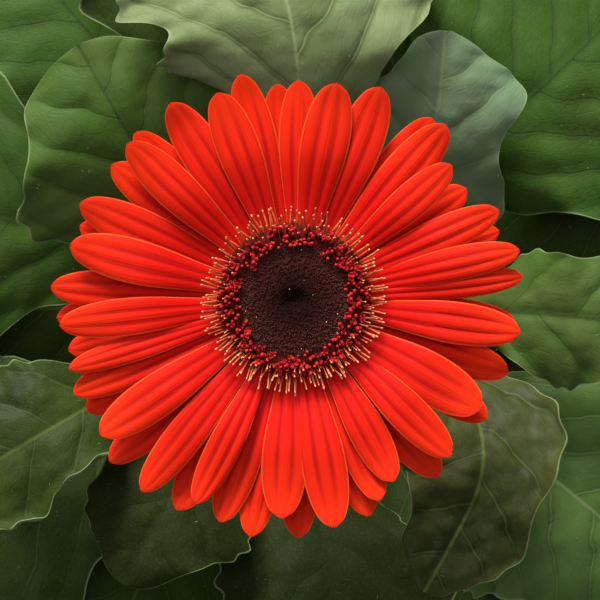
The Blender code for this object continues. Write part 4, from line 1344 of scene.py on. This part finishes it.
def leaf_surface(leaf, settings):
    """Top and bottom points of a leaf, stalk to tip by edge to edge, and each point's place."""
    rows, spans = LEAF_MESH[leaf.name.split("_")[1]]
    shares = leaf_shares(leaf, rows)
    stalk_share = leaf.stalk / leaf.reach
    along = (np.concatenate([[0.0], shares]) - stalk_share) / (1 - stalk_share)
    line, sideways, upright = leaf_frame(leaf, shares, along)
    blade = Blade(leaf, along, spans)
    skin = LEAF_SKIN * (1 - 0.5 * blade.across ** 6)
    outwards, lift, turn = margin_curl(leaf, blade.along, blade.across, blade.reach, blade.broad)
    x = blade.x + outwards
    z = blade.height(settings) + lift
    opening = smoothstep(-0.02, 0.14, blade.along)
    around = pi * (1 - (np.arange(spans + 1) + 0.5) / (spans + 1))[None, :]
    round_x, round_z = STALK_RADIUS * np.cos(around), STALK_RADIUS * np.sin(around)
    hollow = STALK_HOLLOW * smoothstep(0.5, 1.0, 1 - np.abs(np.cos(around)))
    top_z = (round_z - hollow) * (1 - opening) + (z + skin / 2 * np.cos(turn)) * opening
    bottom_z = -round_z * (1 - opening) + (z - skin / 2 * np.cos(turn) - blade.rib()) * opening
    top_x = round_x * (1 - opening) + (x - skin / 2 * np.sin(turn)) * opening
    bottom_x = round_x * (1 - opening) + (x + skin / 2 * np.sin(turn)) * opening
    skins = []
    for across, over in ((top_x, top_z), (bottom_x, bottom_z)):
        beside = line[:, None] + sideways[:, None] * across[..., None]
        skins.append(beside + upright[:, None] * over[..., None])
    return *skins, blade.place(), opening


def leaf_veins(skin, across, slant, edge):
    """Shares of the side veins, of the painted shade in the grooves beside them and of the midrib."""
    distance = skin.times(skin.math("PINGPONG", slant, 0.5), VEIN_SPACING)
    side_vein = skin.between(distance, 0.1 * MM, 0.42 * MM, 1.0, 0.0)
    side_vein = skin.times(side_vein, skin.between(edge, 0.6, 0.95, 1.0, 0.1))
    # Painted shade: the band where the blade dips into a groove beside each side vein.
    groove_shade = skin.between(distance, 0.3 * MM, 1.7 * MM, 1.0, 0.0)
    midrib = skin.between(skin.math("ABSOLUTE", across), 0.2 * MM, 0.55 * MM, 1.0, 0.0)
    return side_vein, groove_shade, midrib


def leaf_net(skin, across, slant):
    """Shares of the coarse and of the fine net between the veins."""
    warp = skin.noise(skin.place, 150.0, 2.0)
    place = skin.vector(across, skin.times(slant, VEIN_SPACING), skin.times(warp, 3 * MM))
    coarse = skin.between(skin.cells(place, 300.0), 0.0, 0.12, 1.0, 0.0)
    return coarse, skin.between(skin.cells(place, 850.0), 0.0, 0.2, 1.0, 0.0)


def leaf_finish(name, light, dark, vein, show, shine, settings):
    """Leaf: mottled green with a midrib, side veins and a fine net, painted shade in the grooves by the
    veins, and pale thin edges.

    Show is how far the veins' colour stands out from the blade, shine its gloss; where that colour is the
    leaf shade, the veins are painted shade of their sunken channels.
    """
    skin = Finish(f"leaf_{name}", roughness=0.55, specular=shine, sheen=0.02, sheen_tint=(0.6, 1.0, 0.4))
    across, slant, edge = skin.parts(skin.attribute("place", "Vector"))
    slant = skin.plus(slant, skin.times(skin.math("GREATER_THAN", across, 0.0), 0.5))
    side_vein, groove_shade, midrib = leaf_veins(skin, across, slant, edge)
    net, fine = leaf_net(skin, across, slant)
    mottle = skin.noise(skin.place, 40.0, 4.0, 0.6)
    grain = skin.noise(skin.place, 1800.0, 3.0, 0.7)
    colour = skin.ramp(mottle, (0.22, dark), (0.6, light))
    # Painted shade: the blade is darker in the grooves beside the side veins.
    colour = skin.mix(skin.times(groove_shade, 0.25 + 0.5 * show), colour, dark)
    colour = skin.mix(skin.between(grain, 0.45, 0.75, 0.0, 0.12), colour, settings.leaf_vein)
    colour = skin.mix(skin.times(net, 0.07), colour, dark)
    colour = skin.mix(skin.times(side_vein, show * 0.6), colour, vein)
    colour = skin.mix(skin.times(midrib, show), colour, vein)
    colour = skin.mix(skin.between(edge, 0.975, 0.995, 0.0, 0.5), colour, settings.leaf_edge)
    colour = skin.mix(skin.times(skin.attribute("under"), 0.6), colour, settings.leaf_under)
    relief = skin.plus(skin.times(net, -0.35), skin.times(fine, -0.2))
    relief = skin.plus(relief, skin.times(skin.noise(skin.place, 1400.0, 2.0), 0.3))
    relief = skin.minus(relief, side_vein)
    return skin.paint(colour, skin.between(mottle, 0.3, 0.7, 0.48, 0.62), relief, 0.22, 0.3 * MM)


def leaf_finishes(settings):
    """The finishes that LEAVES names: light, dark and vein colours, the veins' show and the shine."""
    rows = (
        # Where the vein colour is the leaf shade, the dark midrib and side veins are painted shade of their
        # sunken channels.
        ("deep", settings.leaf_deep, settings.leaf_shade, settings.leaf_vein, 0.25, 0.08),
        # Painted shadow: the leaves under the bloom take a darker green for the shadow it casts on them.
        ("gloom", settings.leaf_gloom, settings.leaf_shade, settings.leaf_shade, 0.3, 0.04),
        ("dark", settings.leaf_dark, settings.leaf_bright, settings.leaf_shade, 0.4, 0.12),
        ("bright", settings.leaf_bright, settings.leaf_deep, settings.leaf_shade, 0.35, 0.12),
        # Painted light: a paler green that makes a low leaf lying in shadow look lit.
        ("fresh", settings.leaf_fresh, settings.leaf_bright, settings.leaf_edge, 0.4, 0.12),
        ("shaded", settings.leaf_brown, settings.leaf_shade, settings.leaf_vein, 0.5, 0.12),
        ("bluish", settings.leaf_bluish, settings.leaf_grey, settings.leaf_edge, 0.3, 0.08),
        ("olive", settings.leaf_olive, settings.leaf_dark, settings.leaf_edge, 0.75, 0.12),
    )
    return {name: leaf_finish(name, *looks, settings) for name, *looks in rows}


def build_leaves(settings, scatter):
    """Every leaf with its stalk, then the sparse down on all of them."""
    finishes = leaf_finishes(settings)
    bed = Heap()
    for leaf in LEAVES:
        top, bottom, place, opening = leaf_surface(leaf, settings)
        rows, columns = top.shape[:2]
        place = place.reshape(-1, 3)
        under = np.concatenate([np.zeros(rows * columns), np.repeat(opening[:, 0], columns)])
        shell = np.concatenate([top.reshape(-1, 3), bottom.reshape(-1, 3)])
        faces = shell_faces(rows, columns)
        blade = object_of(leaf.name.replace("leaf", "blade"), shell, faces, finishes[leaf.green],
                          place=np.concatenate([place, place]), under=under)
        ride_and_replace(blade, "leaf", leaf.name)
        bed.add(shell, faces)
    down = grow(scatter, "leaf_hairs", [hair("leaf_hair_a", 0.035, 0.3), hair("leaf_hair_b", 0.03, -0.5)],
                base=bed.to_mesh("leaf_bed"), Density=settings.leaf_hair_density, Lean=0.8, Sink=0.0,
                Size_From=0.3 * MM, Size_To=0.9 * MM, Seed=51, Material=hair_finish(settings))
    return ride_and_replace(down, "leaf")


# Stage

def soft_light(name, place, target, size, power, colour):
    """A large soft lamp that the camera doesn't see."""
    data = bpy.data.lights.new(name, "AREA")
    data.size = size
    data.energy = power
    data.color = colour
    lamp = bpy.data.objects.new(name, data)
    lamp.location = place
    lamp.rotation_euler = (Vector(target) - Vector(place)).to_track_quat("-Z", "Y").to_euler()
    lamp.visible_camera = False
    bpy.context.scene.collection.objects.link(lamp)


def build_camera():
    """A camera that looks straight down, with the bloom where the photograph has it."""
    data = bpy.data.cameras.new("overhead")
    half_view = atan(PIXEL_SIZE * PHOTO_SIDE / 2 / CAMERA_RISE)
    data.lens = data.sensor_width / 2 / tan(half_view)
    camera = bpy.data.objects.new("overhead", data)
    middle = PHOTO_SIDE / 2
    camera.location = ((middle - BLOOM_PIXEL[0]) * PIXEL_SIZE, (BLOOM_PIXEL[1] - middle) * PIXEL_SIZE,
                       PETAL_LEVEL + CAMERA_RISE)
    bpy.context.scene.collection.objects.link(camera)
    bpy.context.scene.camera = camera


def build_floor(settings):
    """A pale matt floor, far wider than the plant."""
    skin = Finish("pale_floor", roughness=0.9, specular=0.2)
    grain = skin.noise(skin.place, 90.0, 3.0)
    tint = tuple(value * 0.94 for value in settings.floor_colour)
    half = FLOOR_HALF
    corners = [(-half, -half, 0), (half, -half, 0), (half, half, 0), (-half, half, 0)]
    finish = skin.paint(skin.mix(grain, settings.floor_colour, tint))
    object_of("floor", corners, [(0, 1, 2, 3)], finish)


def build_stage(settings):
    """Plain light from all round, two soft lamps, the floor and the camera."""
    scene = bpy.context.scene
    scene.view_settings.view_transform = "Standard"
    world = bpy.data.worlds.new("studio")
    world.use_nodes = True
    sky = world.node_tree.nodes["Background"]
    sky.inputs["Color"].default_value = (0.92, 0.96, 1.0, 1.0)
    sky.inputs["Strength"].default_value = settings.sky_strength
    scene.world = world
    target = (0, 0, PETAL_LEVEL)
    soft_light("key", KEY_PLACE, target, KEY_SIDE, settings.key_power, (1.0, 0.97, 0.92))
    soft_light("fill", FILL_PLACE, target, FILL_SIDE, settings.fill_power, (0.94, 0.97, 1.0))
    build_floor(settings)
    build_camera()


# Properties, operators and panel

def length_setting(name, about, default):
    return FloatProperty(name=name, description=about, default=default, min=0.0, subtype="DISTANCE",
                         unit="LENGTH")


def colour_setting(name, about, *picture):
    return FloatVectorProperty(name=name, description=about, default=picture_colour(*picture), size=3,
                               min=0.0, max=1.0, subtype="COLOR")


def count_setting(name, about, default):
    return IntProperty(name=name, description=about, default=default, min=1)


def amount_setting(name, about, default):
    return FloatProperty(name=name, description=about, default=default, min=0.0)


class GerberaPotSettings(bpy.types.PropertyGroup):
    clay_colour: colour_setting("Clay", "Fired clay", 186, 104, 72)
    clay_shade: colour_setting("Clay shade", "Darker patches of the clay", 160, 82, 55)
    clay_bloom: colour_setting("Mineral bloom", "Pale dried minerals on the clay", 214, 176, 150)
    soil_colour: colour_setting("Soil", "Damp potting soil", 62, 46, 34)
    soil_shade: colour_setting("Soil shade", "Hollows of the soil", 24, 17, 12)
    soil_pale: colour_setting("Soil fibre", "Paler fibres and crumbs", 108, 84, 62)
    crumb_density: amount_setting("Crumb density", "Crumbs per square metre of soil", 130000.0)


class GerberaStemSettings(bpy.types.PropertyGroup):
    stem_colour: colour_setting("Stem", "Green of the flower stem", 122, 150, 78)
    stem_shade: colour_setting("Stem shade", "Darker streaks of the stem", 82, 112, 50)
    stem_pale: colour_setting("Keel", "Pale keel of a bract", 158, 178, 118)
    stem_blush: colour_setting("Blush", "Dull red of bract points", 120, 62, 50)
    down_colour: colour_setting("Down", "Pale hairs", 214, 222, 196)
    down_shade: colour_setting("Down shade", "Duller hairs", 160, 172, 138)
    bracts_in_row: count_setting("Bracts in a row", "Bracts in each row round the cup", 15)
    stem_hair_density: amount_setting("Stem hair density", "Hairs per square metre of stem", 700000.0)


class GerberaLeafSettings(bpy.types.PropertyGroup):
    quilt: length_setting("Quilting", "Height of the blade between its side veins", 1.0 * MM)
    ruffle: length_setting("Ruffle", "Height of the small waves along the edge", 0.9 * MM)
    swell: length_setting("Swell", "Height of the broad uneven swells of the blade", 0.8 * MM)
    crumple: length_setting("Crumple", "Height of the small uneven swells of the blade", 0.2 * MM)
    leaf_deep: colour_setting("Deep green", "Lower leaves", 50, 68, 24)
    leaf_dark: colour_setting("Dark green", "Large upper leaves", 76, 97, 44)
    leaf_bright: colour_setting("Bright green", "Sunlit leaves", 60, 90, 30)
    # Painted light: a paler green that makes a low leaf lying in shadow look lit.
    leaf_fresh: colour_setting("Fresh green", "Palest of the lower leaves", 96, 124, 64)
    leaf_grey: colour_setting("Greyish green", "Darker patches of the greyer leaves", 92, 114, 84)
    leaf_brown: colour_setting("Brownish green", "The crinkled leaf", 74, 80, 38)
    leaf_bluish: colour_setting("Bluish green", "Greyer upper leaves", 110, 132, 100)
    leaf_olive: colour_setting("Olive green", "Pale upper leaves", 142, 158, 112)
    # Painted shadow: a darker green standing in for the bloom's shadow on the leaves below it.
    leaf_gloom: colour_setting("Gloomy green", "Leaves in the shadow of the bloom", 38, 46, 19)
    leaf_shade: colour_setting("Leaf shade", "Darkest green", 34, 46, 19)
    leaf_vein: colour_setting("Vein", "Midrib and side veins", 108, 126, 62)
    leaf_edge: colour_setting("Leaf edge", "Thin pale edge and light veins", 150, 166, 118)
    leaf_under: colour_setting("Underside", "Pale underside of a leaf", 120, 136, 92)
    down_colour: colour_setting("Down", "Pale hairs", 190, 202, 170)
    down_shade: colour_setting("Down shade", "Duller hairs", 130, 150, 112)
    leaf_hair_density: amount_setting("Leaf hair density", "Hairs per square metre of leaf", 30000.0)


class GerberaBloomSettings(bpy.types.PropertyGroup):
    ridge_depth: length_setting("Ridges", "Height of a petal's three ridges", 0.4 * MM)
    petal_colour: colour_setting("Petal", "Red of the petals", 226, 27, 15)
    petal_root: colour_setting("Petal root", "Crimson by the disc", 208, 20, 17)
    petal_tip: colour_setting("Petal tip", "Orange red of tips and ridges", 232, 51, 15)
    # Painted shade in the petals' grooves; the same dark red also colours their darker streaks.
    petal_groove_shade_and_streak: colour_setting("Groove", "Dark red of the grooves", 160, 12, 12)
    # Painted highlight on the petals' thin edges.
    petal_painted_edge_light: colour_setting("Petal edge", "Thin bright edge", 252, 104, 48)
    petal_under: colour_setting("Petal back", "Paler back of the petals", 236, 84, 56)
    disc_count: count_setting("Disc florets", "Florets and bristles on the disc", 3400)
    disc_floret_size: length_setting("Disc floret size", "Width of one disc floret", 0.42 * MM)
    disc_middle: colour_setting("Disc middle", "Nearly black middle", 28, 12, 9)
    disc_colour: colour_setting("Disc", "Dark maroon of the disc", 64, 28, 24)
    disc_edge: colour_setting("Disc edge", "Maroon of the disc's edge", 84, 40, 34)
    disc_tip: colour_setting("Disc tips", "Tips of the florets", 86, 42, 36)
    disc_rim: colour_setting("Disc rim tips", "Greyish tips at the edge", 102, 64, 58)
    inner_count: count_setting("Inner florets", "Crimson florets round the disc", 330)
    inner_colour: colour_setting("Inner floret", "Crimson", 176, 26, 28)
    inner_shade: colour_setting("Inner shade", "Dark crimson", 96, 18, 15)
    # Painted shade at the florets' feet and on the ring between them.
    inner_foot_shade: colour_setting("Inner foot", "Feet of the florets and the ring between them", 86, 17, 13)
    inner_tip: colour_setting("Inner tip", "Lighter lobes", 206, 48, 46)
    stamen_count: count_setting("Stamens", "Filaments of the outer row", 140)
    stamen_colour: colour_setting("Filament", "Gold of the filaments", 222, 126, 74)
    stamen_foot: colour_setting("Filament foot", "Brown foot of the filaments", 164, 52, 32)
    stamen_tip: colour_setting("Filament tip", "Pale tip of the filaments", 243, 174, 116)
    pollen_colour: colour_setting("Pollen", "Pale grains of pollen", 250, 240, 206)
    pollen_density: amount_setting("Pollen density", "Grains per square metre of disc", 36000.0)


class GerberaStageSettings(bpy.types.PropertyGroup):
    floor_colour: colour_setting("Floor", "Pale floor", 226, 224, 218)
    sky_strength: amount_setting("Sky", "Strength of the light from all round", 0.14)
    key_power: amount_setting("Key light", "Power of the main lamp in watts", 350.0)
    fill_power: amount_setting("Fill light", "Power of the second lamp in watts", 19.0)


class GERBERA_OT_pot(bpy.types.Operator):
    """Make the clay pot with its drain holes"""
    bl_idname = "gerbera.pot"
    bl_label = "Clay pot"

    def execute(self, context):
        build_pot(context.scene.gerbera_pot)
        return {"FINISHED"}


class GERBERA_OT_soil(bpy.types.Operator):
    """Make the soil and strew crumbs on it"""
    bl_idname = "gerbera.soil"
    bl_label = "Soil"

    def execute(self, context):
        build_soil(context.scene.gerbera_pot, scatter_tree())
        return {"FINISHED"}


class GERBERA_OT_stem(bpy.types.Operator):
    """Make the flower stem, its cup, the bracts and the hairs"""
    bl_idname = "gerbera.stem"
    bl_label = "Flower stem"

    def execute(self, context):
        build_stem(context.scene.gerbera_stem, round_tree(), scatter_tree())
        return {"FINISHED"}


class GERBERA_OT_leaves(bpy.types.Operator):
    """Make every leaf with its stalk, veins and down"""
    bl_idname = "gerbera.leaves"
    bl_label = "Leaves"

    def execute(self, context):
        build_leaves(context.scene.gerbera_leaf, scatter_tree())
        return {"FINISHED"}


class GERBERA_OT_rays(bpy.types.Operator):
    """Make the red strap petals"""
    bl_idname = "gerbera.rays"
    bl_label = "Ray florets"

    def execute(self, context):
        build_rays(context.scene.gerbera_bloom)
        return {"FINISHED"}


class GERBERA_OT_disc(bpy.types.Operator):
    """Make the dark disc of florets and the grains of pollen on it"""
    bl_idname = "gerbera.disc"
    bl_label = "Disc florets"

    def execute(self, context):
        build_disc(context.scene.gerbera_bloom, spiral_tree(), scatter_tree())
        return {"FINISHED"}


class GERBERA_OT_centre(bpy.types.Operator):
    """Make the crimson florets and the golden stamens round the disc"""
    bl_idname = "gerbera.centre"
    bl_label = "Inner florets and stamens"

    def execute(self, context):
        ring = ring_tree()
        build_inner_florets(context.scene.gerbera_bloom, ring)
        build_stamens(context.scene.gerbera_bloom, ring)
        return {"FINISHED"}


class GERBERA_OT_stage(bpy.types.Operator):
    """Set the floor, the lights and the camera"""
    bl_idname = "gerbera.stage"
    bl_label = "Stage"

    def execute(self, context):
        build_stage(context.scene.gerbera_stage)
        return {"FINISHED"}


STEPS = (GERBERA_OT_pot, GERBERA_OT_soil, GERBERA_OT_stem, GERBERA_OT_leaves, GERBERA_OT_rays,
         GERBERA_OT_disc, GERBERA_OT_centre, GERBERA_OT_stage)
GROUPS = {
    "gerbera_pot": GerberaPotSettings,
    "gerbera_stem": GerberaStemSettings,
    "gerbera_leaf": GerberaLeafSettings,
    "gerbera_bloom": GerberaBloomSettings,
    "gerbera_stage": GerberaStageSettings,
}


class GERBERA_PT_sidebar(bpy.types.Panel):
    """Lists the steps of the gerbera and their settings"""
    bl_idname = "GERBERA_PT_sidebar"
    bl_label = "Potted gerbera"
    bl_space_type = "VIEW_3D"
    bl_region_type = "UI"
    bl_category = "Gerbera"

    def draw(self, context):
        for step in STEPS:
            self.layout.operator(step.bl_idname)
        for name, group in GROUPS.items():
            box = self.layout.box()
            for key in group.__annotations__:
                box.prop(getattr(context.scene, name), key)


def register():
    for kind in (*GROUPS.values(), *STEPS, GERBERA_PT_sidebar):
        bpy.utils.register_class(kind)
    for name, group in GROUPS.items():
        setattr(bpy.types.Scene, name, PointerProperty(type=group))


def unregister():
    for name in GROUPS:
        delattr(bpy.types.Scene, name)
    for kind in (GERBERA_PT_sidebar, *STEPS[::-1], *list(GROUPS.values())[::-1]):
        bpy.utils.unregister_class(kind)


def main():
    register()
    for step in STEPS:
        group, name = step.bl_idname.split(".")
        getattr(getattr(bpy.ops, group), name)()


if __name__ == "__main__":
    main()
